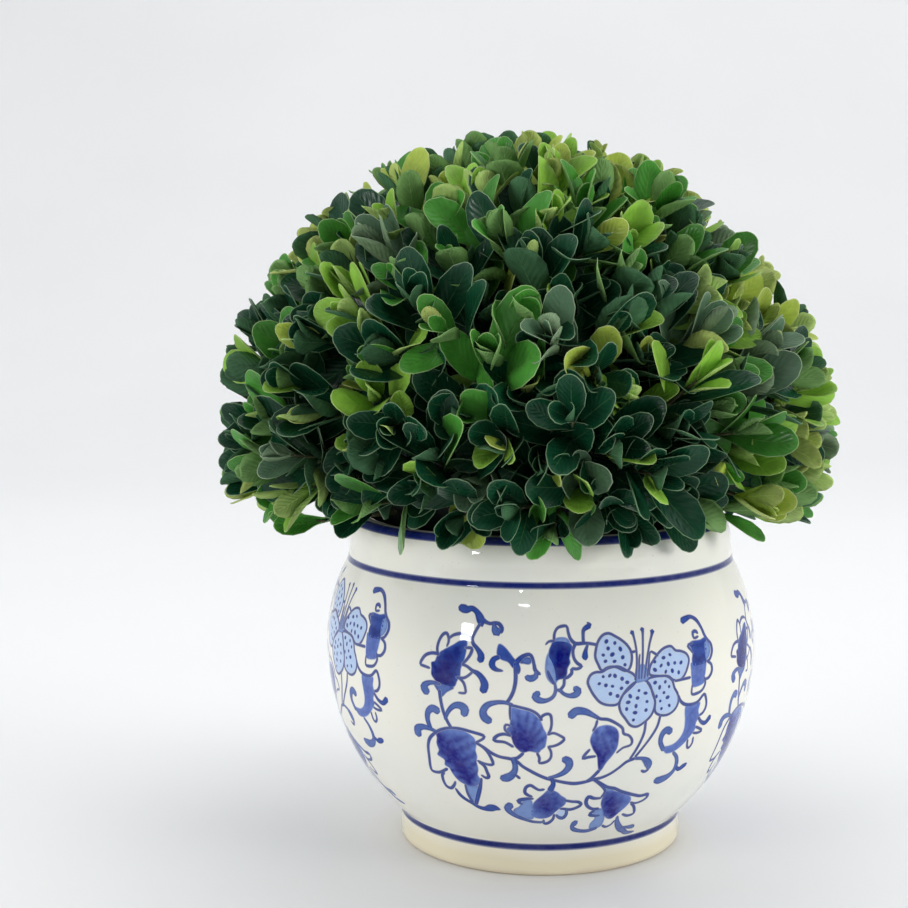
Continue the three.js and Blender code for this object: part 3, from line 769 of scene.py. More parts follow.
# Filled shapes: the tone with the way it darkens, then distance across and height of each corner.
FILLS = """
DEEP/-100 -22.2,78.3 -24.5,78.2 -26.5,77 -29,75.6 -30.7,74.5 -31.8,73 -32.3,71.7 -33.5,71.2 -33.4,69.6
    -33.4,67.6 -32.4,66.2 -31,65.1 -28.5,64.6 -25.8,64.6 -24.8,66.5 -23.9,68 -23.7,70.2 -22.8,72.5
    -22.2,75.5
CURL -33,65.7 -29.5,65.3 -25.8,64.4 -28.2,62.7 -30.2,60.9 -31.2,62.6
VIOLET/-135 -33,49.6 -30.6,50.9 -28,51.7 -25,51.8 -22.6,51.1 -20.4,49.6 -19.7,47.6 -20.1,45.4 -19.8,43.4
    -20.2,41.6 -19.9,39.4 -20.4,37.2 -19.6,35.6 -20.4,34 -21.4,33.2 -23.2,32.8 -25.6,33.2 -27.8,34.4
    -29.4,36.6 -30.2,38.4 -31.6,39.2 -31.4,41 -33.6,42.4 -32.8,44 -33.2,46.2 -32.8,48.2
WASH -25.4,33 -23,33.1 -20.6,33.2 -22,29.2 -23.6,26.8 -24.8,28.4
INK/-90 -12.4,78 -10.8,77.4 -9.2,75.8 -7.6,73.9 -6.4,73.2 -6.2,71.6 -7,70.4 -8.2,71.2 -9.6,72.8
    -11.4,73.4 -12.8,74.4 -13,76.2
CURL -6.2,72.7 -4.9,74.4 -3,74.4 -2.6,73.2 -3.4,72.3 -5,72.5
WASH 3.9,79.2 5,80 7.2,80 8.4,79.2 8.6,78 6,77.8 3.8,78.2
WASH 2.6,76 1.7,75 1.2,72.5 1.2,70 1.9,68 3.4,66.6 4.8,67.6 4.2,71 3.6,74
DEEP/-110 3.6,78.9 6,79.1 8.4,78.5 9.3,77.3 8.8,75.6 8.4,74 8.6,72.8 7.8,71.2 7.6,69.6 7,68.3 5.4,68
    4.2,67.5 4,69.4 3.6,71.5 2.9,73.2 2.2,74.6 2.3,76.4 2.9,77.8
VIOLET/-110 -8.8,59.6 -6,59.2 -3,58.5 -1.2,57.2 0,55.6 .8,53.4 1.8,51.4 1.6,49 1.2,47.4 0,46.4 -.8,45.5
    -3.4,46 -5.6,45.5 -7.2,46.7 -8.2,48 -8.8,50 -9.4,51.4 -10.4,52.7 -9.4,54 -9,56
VIOLET/60 2.6,33.2 5.2,32.4 6.8,31 8.7,29.6 8.4,27.6 6.6,26 5,24.5 3.4,22.9 .6,22.1 -2.2,22.5 -3.7,23.9
    -3.4,26 -2.6,28.2 -1.2,29.8 .4,31.2
WASH -3,29 -4.6,29.6 -6.6,28.4 -7.6,26.8 -9.8,25.4 -9.2,23.4 -6,22 -3,21.9 -2.4,24
PALE 8.9,25.6 9,23.8 8,22.6 6.6,22.8 5.4,24 6.6,25.8
VIOLET/-90 19.8,53.8 22.4,52.8 23.6,51 23.8,48.6 23.5,46 22.3,43.8 20.6,41.6 19.4,39.4 18.4,38.6 17.8,41
    17.2,44 15.9,46 15,48 14.7,49.6 15.5,52 17,53.4
VIOLET/-120 22,32 24.6,31.6 27.4,30.8 30.8,29.5 32.6,28.1 33,26.4 31.8,24.4 30,22.6 28,20.6 26.2,20.6
    24.2,21.8 23,23 22.2,25 21.3,27 21.3,29.2
WASH 19.5,24.9 22.4,25.2 23.8,23 24.8,20.4 24.4,17.7 22,16.9 19.7,17.1 19.3,19.4 20.5,21.4 19.2,23
WASH 19.6,34.9 22.4,33.3 26,32 24,31.2 22,31.6 20.8,33
CURL 32,41.9 34.2,41.4 36.3,40 36.9,38.2 36,37.5 34.6,38.6 33.4,40.2
VIOLET 48.4,69.4 51,69 55,69.4 55,66.6 54.4,64 54.2,62.4 51.4,61.7 49,62 48.5,64.6 48.3,67
INK/-90 47.8,74.9 49.6,75.7 53,75.6 55.8,76 56,73.4 55.4,70.8 55.2,68.4 52.4,68 49.4,68.2 48.8,70
    49.2,72 48.8,73.6
VIOLET 46.8,56.4 50,56.2 53,56.6 52.7,54 53.4,52 52.4,50 52.6,48.2 51,46.2 49.4,44.7 47.2,43.1 44.6,42
    42,41.9 40.5,43 39.8,44.5 42,44.5 44.4,45 46.4,46.7 47.3,49 47.1,52 46.6,54.4
WASH 54.8,74.4 56.8,74.4 57.6,72 56.4,69.8 54.8,69.6
WASH 28.3,66 28.9,69.6 30.6,71.4 32.4,69.4 32.6,66.6 30.4,65.8
"""

# The blossom's petals: distance across and height of each corner of a smooth outline.
PETALS = """
petal 16.2,76 17,78.4 18.6,80.2 20.6,80.6 22.6,79.6 24.2,78.6 26,77 27.2,74.8 27.2,72.4 26.4,70.2
    25,69.6 22,71 19.6,71 17.8,70.2 16.8,72 16,74
petal 17.8,69.8 20,70.8 23,71 25.6,69.6 27.6,68.4 28.6,66.6 27.2,65 25.4,63.6 24,62.2 22.8,60 20,59.8
    17.4,60.8 15.6,62.8 14.4,64.8 13.6,67 14.4,69 16,69.8
petal 28.2,66 31,66.4 33,64.8 34,62 35,59.4 34.6,56.8 33.6,55 31.6,53.4 29.4,52.4 27.2,53 25.4,55.2
    23.8,57.4 23.2,60 24.2,62.4 25.8,64.4
petal 33,66.8 36,67 39,66.6 41,65 41.8,62.8 43.2,60.6 43.6,58.2 42.4,56 40,54.8 37.2,55 35.2,56.4
    35,59.4 34.2,62 33,64.4 32,66
petal 33,67.8 33.2,70.2 34.6,72 36.4,73.8 38.6,75 41,75.2 42.6,73.8 44.4,73.4 46.6,72.4 47.6,70.6
    47,68.4 45.6,66 43.6,64.8 41.4,65.2 39.4,66.6 36.4,67
"""

# The petals' dots: distance across and height.
DOTS = """
dots
19.6,78.4 22.2,77.8 20,76.4 23.8,76 18.4,74.6 21.2,74.6 24.4,73.6 19,72.8 21.8,72.6 25,71.4
18.2,68.4 20.2,68.6 21.8,68.4 24,67.4 17,66.4 19,65.8 21,65.4 25.6,66.2 23.8,64.6 20.4,63.2 22.6,62.4
29.4,63.4 31.6,62.4 26.6,62 29,61.2 26,60.2 32.2,59.8 28.6,58.8 25.6,58.2 28.4,56.8 32,57.2 28,54.6
34.8,65.2 38.4,65 36.4,63.6 39.8,63.4 38,61.8 35.4,61 39.4,60.2 36.8,59.4 37.4,57 40.2,57.6
38,72.2 40.4,72.8 34.8,71.4 37,70 39.6,70.2 42,70.2 44.4,70 34.8,69 38.6,68 41,68 43.4,67.2
"""


def shapes(text: str) -> list[tuple[str, np.ndarray]]:
    """Reads painted shapes: a word that starts with a letter names the next one, and its points follow.

    Args:
        text: words with spaces between them, a point's numbers joined by commas.

    Returns:
        The name and the points of each shape.
    """
    read: list[tuple[str, list[list[float]]]] = []
    for word in text.split():
        if word[0].isalpha():
            read.append((word, []))
        else:
            read[-1][1].append([float(n) for n in word.split(",")])
    return [(name, np.array(points)) for name, points in read]


def run_along(line: np.ndarray) -> np.ndarray:
    """How far along a line each of its points lies."""
    return np.concatenate([[0], np.cumsum(np.linalg.norm(np.diff(line, axis=0), axis=1))])


def spline(points: np.ndarray, spacing: float, closed: bool = False) -> np.ndarray:
    """A smooth curve of cubics through points, with half the step between a point's neighbours as its slope.

    Args:
        points: the points, one to a row, with any number of values each; the first two are the place.
        spacing: the distance between the curve's samples.
        closed: joins the last point to the first.

    Returns:
        Samples of the curve, evenly spaced along it.
    """
    if closed:
        ring = np.concatenate([points[-1:], points, points[:2]])
    else:
        ring = np.concatenate([2 * points[:1] - points[1:2], points, 2 * points[-1:] - points[-2:-1]])
    before, start, end, after = ring[:-3], ring[1:-2], ring[2:-1], ring[3:]
    t = np.linspace(0, 1, 17)[:-1][None, :, None]
    b, s, e, a = (v[:, None, :] for v in (before, start, end, after))
    cubic = s + 0.5 * t * (e - b + t * (2 * b - 5 * s + 4 * e - a + t * (3 * (s - e) + a - b)))
    dense = np.concatenate([cubic.reshape(-1, points.shape[1]), end[-1:]])
    run = run_along(dense[:, :2])
    count = max(4, int(round(run[-1] / spacing)) + 1)
    at = np.linspace(0, run[-1], count)
    out = np.stack([np.interp(at, run, values) for values in dense.T], -1)
    return out[:-1] if closed else out


@dataclass
class Panel:
    """Where a repeat of the painting sits, and how far the brush strayed on it."""

    turn: float
    rise: float
    squeeze: float
    sway: float
    seed: int

    def carry(self, flat: np.ndarray) -> np.ndarray:
        """Moves flat painting to this panel, with slow waves of a few tenths of a millimetre."""
        x, z = flat[..., 0], flat[..., 1]
        phase = np.random.default_rng(self.seed).uniform(0, FULL_TURN, 4)
        stray_x = self.sway * (np.sin(z * 0.11 + phase[0]) + 0.5 * np.sin(x * 0.17 + z * 0.07 + phase[1]))
        stray_z = self.sway * (np.sin(x * 0.09 + phase[2]) + 0.5 * np.sin(x * 0.05 + z * 0.16 + phase[3]))
        return np.stack([x * self.squeeze + self.turn + stray_x, z + self.rise + stray_z], -1)


@dataclass
class Painting:
    """The floral scroll, four times round the belly, and the bands at foot, neck and rim.

    Its faces stand a few hundredths of a millimetre off the glaze, and their faded edges lie sunk in it.
    """

    pot: Pot
    sunk: float = -0.012
    petal_lift: float = 0.012
    fill_lift: float = 0.02
    dot_lift: float = 0.03
    line_lift: float = 0.034
    bleed: float = 0.28
    petal_line: float = 0.66
    line_spacing: float = 0.55
    loop_spacing: float = 0.7
    edge_spacing: float = 0.5
    fade: float = 0.4
    # How far washes spread past their outline, petals less, and how far inside it their full blue begins.
    spread: float = 0.24
    petal_spread: float = 0.05
    inset: float = 0.22
    # Spacing of the points in plain washes and in brushed leaves, and of their rows as a share of it.
    plain_step: float = 0.8
    leaf_step: float = 0.5
    row_step: float = 0.87
    # Least distance from the outline for the points of the inner line and of the field.
    line_clear: float = 0.24
    field_clear: float = 0.85
    # A line's darker edge: its width, and how much of the blue gathers in it.
    edge_width: float = 0.42
    edge_pool: float = 0.85
    dot_sides: int = 12
    around: int = 360
    # Height and width of the rings over the foot and round the neck.
    rings: tuple[tuple[float, float], ...] = ((9.45, 2.6), (93.85, 2.05))
    # From where to where the rings at the rim run, along the profile from its crest, and their shade.
    rim_rings: tuple[tuple[float, float, float], ...] = ((-5.0, -1.1, 0.7), (0.75, 2.0, 0.5))
    seed: int = 77
    feathers: list[np.ndarray] = field(default_factory=lambda: [line for _, line in shapes(FEATHERS)])

    def panels(self) -> list[Panel]:
        """The four repeats. The one to the left of the front sits higher, as the brush placed it."""
        quarter = FULL_TURN * PAINT_RADIUS / PANEL_TURNS
        return [
            Panel(0.5, -0.3, 1.0, 0.0, 1),
            Panel(quarter - 3.6, -2.8, 0.99, 0.3, 2),
            Panel(2 * quarter, 2.0, 0.985, 0.6, 3),
            Panel(-quarter + 2.0, 6.8, 0.985, 0.4, 4),
        ]

    def _surface(self, flat: np.ndarray, lift: np.ndarray, corners: np.ndarray, counts: np.ndarray,
                 ink: np.ndarray, pool: np.ndarray) -> list[Surface]:
        """The same flat shape on each panel.

        Args:
            flat: distance across and height of each point.
            lift: how far each stands off the wall.
            corners: corners of its faces in one run.
            counts: number of corners of each face.
            ink: cover of the blue at each point, 0 to 1.
            pool: how much the blue gathered there, 0 to 1.

        Returns:
            One surface for each panel.
        """
        made = []
        for panel in self.panels():
            points, normals = self.pot.place(*panel.carry(flat).T, lift)
            cover = {"ink": ink, "pool": pool}
            made.append(Surface(points, corners, counts, normals=normals, attributes=cover))
        return made

    def stroke(self, points: np.ndarray, lift: float, closed: bool = False) -> list[Surface]:
        """A brush line: a ribbon along a smooth curve, seven points across, faded past its edges.

        Half its width at a point is the curve's half width, times the root of one less the square of how far
        the point lies into a round end.

        Args:
            points: place and width of its control points.
            lift: how far it stands off the wall.
            closed: joins its ends.

        Returns:
            One ribbon for each panel.
        """
        if closed:
            line = spline(points, self.loop_spacing, True)
            line = np.concatenate([line, line[:1]])
        else:
            head, tail = points[0].copy(), points[-1].copy()
            head[:2] -= 0.5 * head[2] * unit(points[1, :2] - points[0, :2])
            tail[:2] += 0.5 * tail[2] * unit(points[-1, :2] - points[-2, :2])
            line = spline(np.concatenate([head[None], points, tail[None]]), self.line_spacing)
        path, half = line[:, :2], line[:, 2] / 2
        run = run_along(path)
        if not closed:
            into = np.minimum(run / np.maximum(half[0], 0.1), (run[-1] - run) / np.maximum(half[-1], 0.1))
            half = half * np.sqrt(1 - (1 - np.clip(into, 0.0, 1.0)) ** 2) + 0.02
        slope = np.gradient(path, axis=0)
        if closed:
            slope[0] = slope[-1] = path[1] - path[-2]
        side = unit(np.stack([-slope[:, 1], slope[:, 0]], -1))
        inner = np.maximum(half - self.edge_width, half * 0.35)
        outer, edge_line = half + self.bleed, half * 0.9
        reach = np.stack([outer, edge_line, inner, 0 * half, -inner, -edge_line, -outer], -1)
        flat = path[:, None, :] + side[:, None, :] * reach[:, :, None]
        lifts = np.array([self.sunk, lift, lift, lift + 0.003, lift, lift, self.sunk])
        lifts = np.broadcast_to(lifts, reach.shape)
        full = np.clip(0.86 + 0.2 * half, 0.0, 1.0)[:, None]
        ink = full * np.array([0.0, 1.0, 1.0, 1.0, 1.0, 1.0, 0.0])
        middle = np.clip(1.05 - half / 0.8, 0.14, 0.7)[:, None]
        edge = np.full_like(middle, self.edge_pool)
        pool = np.concatenate([edge * 0.7, edge, middle, middle, middle, edge, edge * 0.7], 1)
        corners, counts = grid_faces(*reach.shape)
        return self._surface(flat.reshape(-1, 2), lifts.ravel(), corners, counts, ink.ravel(), pool.ravel())

    def wash(self, outline: np.ndarray, lift: float, tone: Tone,
             dark_towards: float | None = None) -> list[Surface]:
        """A filled shape: its smooth outline, a line just inside it and a field of points, in triangles.

        The cover of a point rises from nothing at the outline to full at the inner line. The blue is lighter
        near the edge of a brushed leaf and darker near the edge of a plain shape, and darkens towards one
        side. A feather adds to a leaf's blue by the bell curve of the distance from it over its width.

        Args:
            outline: corners of the shape.
            lift: how far it stands off the wall.
            tone: the strength of its blue.
            dark_towards: the way it darkens, in degrees from level right, or None.

        Returns:
            One shape for each panel.
        """
        ring = spline(outline, self.edge_spacing, True)
        along = np.roll(ring, -1, axis=0) - np.roll(ring, 1, axis=0)
        area = (ring[:, 0] * np.roll(ring[:, 1], -1) - np.roll(ring[:, 0], -1) * ring[:, 1]).sum()
        out = unit(np.stack([along[:, 1], -along[:, 0]], -1)) * np.sign(area)
        inner = ring - out * self.inset
        ring = ring + out * (self.petal_spread if tone is Tone.PALE else self.spread)
        low, high = ring.min(0), ring.max(0)
        plain = tone in (Tone.PALE, Tone.WASH, Tone.CURL)
        step = self.plain_step if plain else self.leaf_step
        rows = np.arange(low[1], high[1], self.row_step * step)
        grid_x, grid_z = np.meshgrid(np.arange(low[0], high[0], step), rows)
        grid_x[::2] += step / 2
        grid = np.stack([grid_x.ravel(), grid_z.ravel()], -1)
        deep = self._within(grid, inner) & (self._distance(grid, ring) > self.field_clear)
        inner = inner[self._distance(inner, ring) > self.line_clear]
        every = np.concatenate([ring, inner, grid[deep]])
        loop = [(i, (i + 1) % len(ring)) for i in range(len(ring))]
        flat, _, faces, *_ = delaunay_2d_cdt([Vector(p) for p in every.tolist()], loop, [], 1, 1e-6)
        flat = np.array([tuple(p) for p in flat])
        away = self._distance(flat, ring)
        faces = np.array([f for f in faces if len(f) == 3])
        a, b, c = (flat[faces[:, k]] for k in range(3))
        area = (b[:, 0] - a[:, 0]) * (c[:, 1] - a[:, 1]) - (b[:, 1] - a[:, 1]) * (c[:, 0] - a[:, 0])
        faces = np.where(area[:, None] < 0, faces[:, ::-1], faces)[np.abs(area) > 1e-7]
        part = np.clip(away / self.fade, 0.0, 1.0)
        lifts = self.sunk + (lift - self.sunk) * part
        if plain:
            pool = 0.75 * np.clip(1.0 - away / 1.1, 0.0, 1.0)
        else:
            pool = 0.12 + 0.26 * np.clip(away / 2.6, 0.0, 1.0)
            for feather in self.feathers:
                gap, place = self._from_line(flat, feather[:, :2])
                width = np.interp(place, np.arange(len(feather)), feather[:, 2])
                strength = np.clip(0.4 + 0.22 * width, 0.0, 0.95)
                pool = pool + np.maximum(0.95 - pool, 0.0) * strength * np.exp(-((1.6 * gap / width) ** 2))
        if dark_towards is not None:
            angle = math.radians(dark_towards)
            along = (flat - flat.mean(0)) @ np.array([math.cos(angle), math.sin(angle)])
            pool = pool + 0.22 * along / np.abs(along).max()
        pool = np.clip(pool, 0.0, 1.0)
        return self._surface(flat, lifts, faces.ravel(), np.full(len(faces), 3), part, pool)

    def dot(self, at: np.ndarray, radius: float, stretch: float, turn: float) -> list[Surface]:
        """A dab of the brush: an oval of points about its middle, and a faded one round that.

        Args:
            at: its middle.
            radius: half its width.
            stretch: its length over its width.
            turn: the way it lies, in radians.

        Returns:
            One dab for each panel.
        """
        sides = self.dot_sides
        angle = full_turn(sides)
        lie = np.array([math.cos(turn), math.sin(turn)])
        across = np.array([-lie[1], lie[0]])
        circle = np.cos(angle)[:, None] * lie * stretch + np.sin(angle)[:, None] * across
        flat = np.concatenate([at[None], at + circle * radius * 0.8, at + circle * (radius + self.spread)])
        inner = 1 + np.arange(sides)
        inner_next = np.roll(inner, -1)
        fan = np.stack([np.zeros_like(inner), inner, inner_next], -1)
        band = np.stack([inner, sides + inner, sides + inner_next, inner_next], -1)
        lifts = np.repeat([self.dot_lift, self.dot_lift, self.sunk], [1, sides, sides])
        ink = np.repeat([1.0, 0.95, 0.0], [1, sides, sides])
        pool = np.repeat([0.5, 0.6], [1, 2 * sides])
        return self._surface(flat, lifts, np.concatenate([fan.ravel(), band.ravel()]),
                             np.repeat([3, 4], sides), ink, pool)

    @classmethod
    def _distance(cls, points: np.ndarray, ring: np.ndarray) -> np.ndarray:
        """Distance of each point from the nearest stretch of a closed line."""
        return cls._from_line(points, np.concatenate([ring, ring[:1]]))[0]

    @staticmethod
    def _from_line(points: np.ndarray, line: np.ndarray) -> tuple[np.ndarray, np.ndarray]:
        """Each point's distance from an open line, and the place on it, counted in the line's points."""
        step = np.diff(line, axis=0)
        away = points[:, None, :] - line[None, :-1]
        t = np.clip((away * step).sum(-1) / np.maximum((step**2).sum(-1), TINY**2), 0.0, 1.0)
        gap = np.linalg.norm(away - t[..., None] * step, axis=-1)
        nearest = gap.argmin(1)
        row = np.arange(len(points))
        return gap[row, nearest], nearest + t[row, nearest]

    @staticmethod
    def _within(points: np.ndarray, ring: np.ndarray) -> np.ndarray:
        """Whether a level ray from each point crosses a closed line an odd number of times."""
        x, z = points[:, :1], points[:, 1:]
        start, end = ring, np.roll(ring, -1, axis=0)
        spans = (start[:, 1] > z) != (end[:, 1] > z)
        run, rise = (end - start).T
        cross = start[:, 0] + (z - start[:, 1]) * run / np.where(np.abs(rise) < TINY, TINY, rise)
        return (spans & (x < cross)).sum(1) % 2 == 1

    def scroll(self) -> None:
        """Paints the scroll on all panels: washes, then petals with their dots, then the lines over them."""
        tones: defaultdict[Tone, list[Surface]] = defaultdict(list)
        for row, (name, outline) in enumerate(shapes(FILLS)):
            name, _, angle = name.partition("/")
            lift = self.fill_lift + 0.0006 * row
            tones[Tone[name]] += self.wash(outline, lift, Tone[name], float(angle) if angle else None)
        for row, (_, petal) in enumerate(shapes(PETALS)):
            tones[Tone.PALE] += self.wash(petal, self.petal_lift + 0.001 * row, Tone.PALE)
            edge = np.concatenate([petal, np.full((len(petal), 1), self.petal_line)], 1)
            tones[Tone.INK] += self.stroke(edge, self.line_lift - 0.003 * row, True)
        rng = np.random.default_rng(self.seed)
        for at in shapes(DOTS)[0][1]:
            size, stretch, turn = rng.uniform(0.46, 0.66), rng.uniform(1.0, 1.45), rng.uniform(0, math.pi)
            tones[Tone.DOT] += self.dot(at, size, stretch, turn)
        for row, (name, points) in enumerate(shapes(LINES)):
            tones[Tone[name]] += self.stroke(points, self.line_lift + 0.0012 * (row % 17))
        for tone, parts in tones.items():
            surface = Surface.joined(parts)
            Builder.piece("scroll_" + tone.name.lower(), surface, [PaintFinish(tone).make()], "pot_glaze")

    def ring(self, profile: np.ndarray, ink: np.ndarray, pool: np.ndarray) -> Surface:
        """A painted ring: rows of points, each at a height and radius, turned about Z.

        Args:
            profile: radius and height of each row.
            ink: cover of each row.
            pool: gathering of the blue in each row.

        Returns:
            The ring.
        """
        angle = full_turn(self.around)
        out = self._outward(profile)
        points = turned(profile[:, :1], profile[:, 1:], angle).reshape(-1, 3)
        normals = turned(out[:, :1], out[:, 1:], angle).reshape(-1, 3)
        corners, counts = grid_faces(len(profile), self.around, wrap=True)
        brushed = 1 + 0.1 * np.sin(3 * angle + 1.0) + 0.05 * np.sin(8 * angle)
        gathered = np.clip(pool[:, None] * brushed, 0, 1).ravel()
        cover = {"ink": np.repeat(ink, self.around), "pool": gathered}
        return Surface(points, corners, counts, normals=normals, attributes=cover)

    @staticmethod
    def _outward(profile: np.ndarray) -> np.ndarray:
        """The way out of a profile at each of its points, at right angles to its slope."""
        slope = np.gradient(profile, axis=0)
        return unit(np.stack([slope[:, 1], -slope[:, 0]], -1))

    def bands(self) -> None:
        """The brushed rings: over the foot, round the neck, broad on the rim and thin inside it."""
        ink = np.array([0, 0.75, 1, 1, 1, 0.75, 0.0])
        pool = np.array([0.0, 0.1, 0.8, 1.0, 0.8, 0.1, 0.0])
        lift = np.array([self.sunk, 0.02, 0.03, self.line_lift, 0.03, 0.02, self.sunk])
        rings = []
        for height, width in self.rings:
            z = height + np.array([-0.5, -0.36, -0.22, 0, 0.22, 0.36, 0.5]) * (width + 0.4)
            rings.append(self.ring(np.stack([self.pot.radius(z) + lift, z], -1), ink, pool))
        outline = self.pot.outline()
        run = run_along(outline)
        run -= run[np.argmax(outline[:, 1])]
        outward = self._outward(outline)
        ink = np.array([0, 0.9, 1, 1, 1, 1, 1, 0.9, 0.0])
        lift = np.array([self.sunk, 0.02, 0.03, 0.03, 0.03, 0.03, 0.03, 0.02, self.sunk])
        for low, high, shade in self.rim_rings:
            at = np.linspace(low, high, len(ink))
            place = np.stack([np.interp(at, run, values) for values in outline.T], -1)
            out = np.stack([np.interp(at, run, values) for values in outward.T], -1)
            rings.append(self.ring(place + unit(out) * lift[:, None], ink, np.full(len(ink), shade)))
        Builder.piece("painted_bands", Surface.joined(rings), [PaintFinish(Tone.BAND).make()], "pot_glaze")


# Filling and stem


@dataclass
class Filling:
    """Dry foam in the pot, with a worn, uneven top."""

    pot: Pot
    top: float = 98.7
    throat: float = 96.0
    gap: float = 0.4
    wave: float = 0.45
    around: int = 72

    def build(self) -> bpy.types.Object:
        """Turns the filling's profile about Z; its top sinks by a few waves of a millimetre."""
        z = np.linspace(self.pot.floor + 4, self.throat, 14)
        wall = self.pot.radius(np.minimum(z, self.pot.neck_height)) - self.pot.wall - self.gap
        edge = self.pot.mouth_radius - self.gap
        wall[-1] = min(wall[-1], edge)
        foot = self.pot.floor + self.gap
        low = [(2, foot), (wall[0] - 4, foot)]
        top = [(r, self.top) for r in (edge, edge - 0.6, 46, 38, 30, 22, 14, 7, 2)]
        outline = np.concatenate([low, np.stack([wall, z], -1), [(edge, self.throat + 1)], top])
        angle = full_turn(self.around)
        r, h = outline[:, :1], outline[:, 1:]
        waves = self.wave * (1 + np.sin(3 * angle + r * 0.21) * np.cos(r * 0.33 + 2 * angle))
        sink = waves * (h == self.top) * (r < edge - 1)
        foam = MatFinish("dry_foam", (0.30, 0.235, 0.165), (0.12, 0.09, 0.06), 260.0, 0.9)
        surface = tube(turned(r, h - sink, angle))
        return Builder.piece("pot_foam", surface, [foam.make()], "filling", ["pot_filling"])


@dataclass
class Stem:
    """The short stem inside the ball, flared at its foot, leaning to the ball's centre."""

    foot: float = 99.3
    length: float = 31.8
    flare: float = 8.0
    radius: float = 4.6
    tip: float = 3.2
    lean: float = -2.3
    flare_height: float = 3.0
    rings: int = 40
    around: int = 48

    def build(self) -> bpy.types.Object:
        """A tube whose radius is its taper, its flare that dies away upwards, and bark ridges round it."""
        t = np.linspace(0, 1, self.rings)[:, None]
        angle = full_turn(self.around)
        height = t * self.length
        flare = (self.flare - self.radius) * np.exp(-((height / self.flare_height) ** 1.3))
        ridge = 1 + 0.035 * np.sin(7 * angle + height * 0.25) + 0.02 * np.sin(17 * angle - height * 0.5)
        taper = self.radius + (self.tip - self.radius) * t
        closed = np.clip((1 - t) * 60, 0.05, 1) ** 0.5
        r = np.minimum((taper + flare) * ridge * closed, self.flare)
        surface = tube(turned(r, self.foot + height, angle) + t[..., None] * [self.lean, 0, 0])
        bark = BarkFinish("stem_bark", (0.27, 0.21, 0.14), (0.09, 0.065, 0.045))
        return Builder.piece("stem_bark", surface, [bark.make()], "bark", ["stem"])


# The crown


class Tint(Enum):
    """The leaves' tints, dealt out by sprig. Deep, green, bright and olive serve partly as painted shade and
    painted light, as Crown.tints places them; each tint's margin colour is a painted rim highlight.
    """

    DEEP = LeafFinish("deep", (0.003, 0.047, 0.020), (0.050, 0.138, 0.062), (0.17, 0.28, 0.15),
                      (0.040, 0.110, 0.042), 0.30)
    GREEN = LeafFinish("green", (0.057, 0.245, 0.032), (0.175, 0.335, 0.105), (0.27, 0.44, 0.16),
                       (0.095, 0.24, 0.045), 0.32)
    BRIGHT = LeafFinish("bright", (0.235, 0.460, 0.055), (0.380, 0.540, 0.160), (0.38, 0.55, 0.16),
                        (0.23, 0.44, 0.06), 0.40)
    OLIVE = LeafFinish("olive", (0.365, 0.480, 0.070), (0.400, 0.500, 0.140), (0.52, 0.60, 0.24),
                       (0.42, 0.54, 0.12), 0.42)
    SAGE = LeafFinish("sage", (0.080, 0.160, 0.090), (0.190, 0.285, 0.165), (0.30, 0.40, 0.26),
                      (0.09, 0.17, 0.08), 0.46)


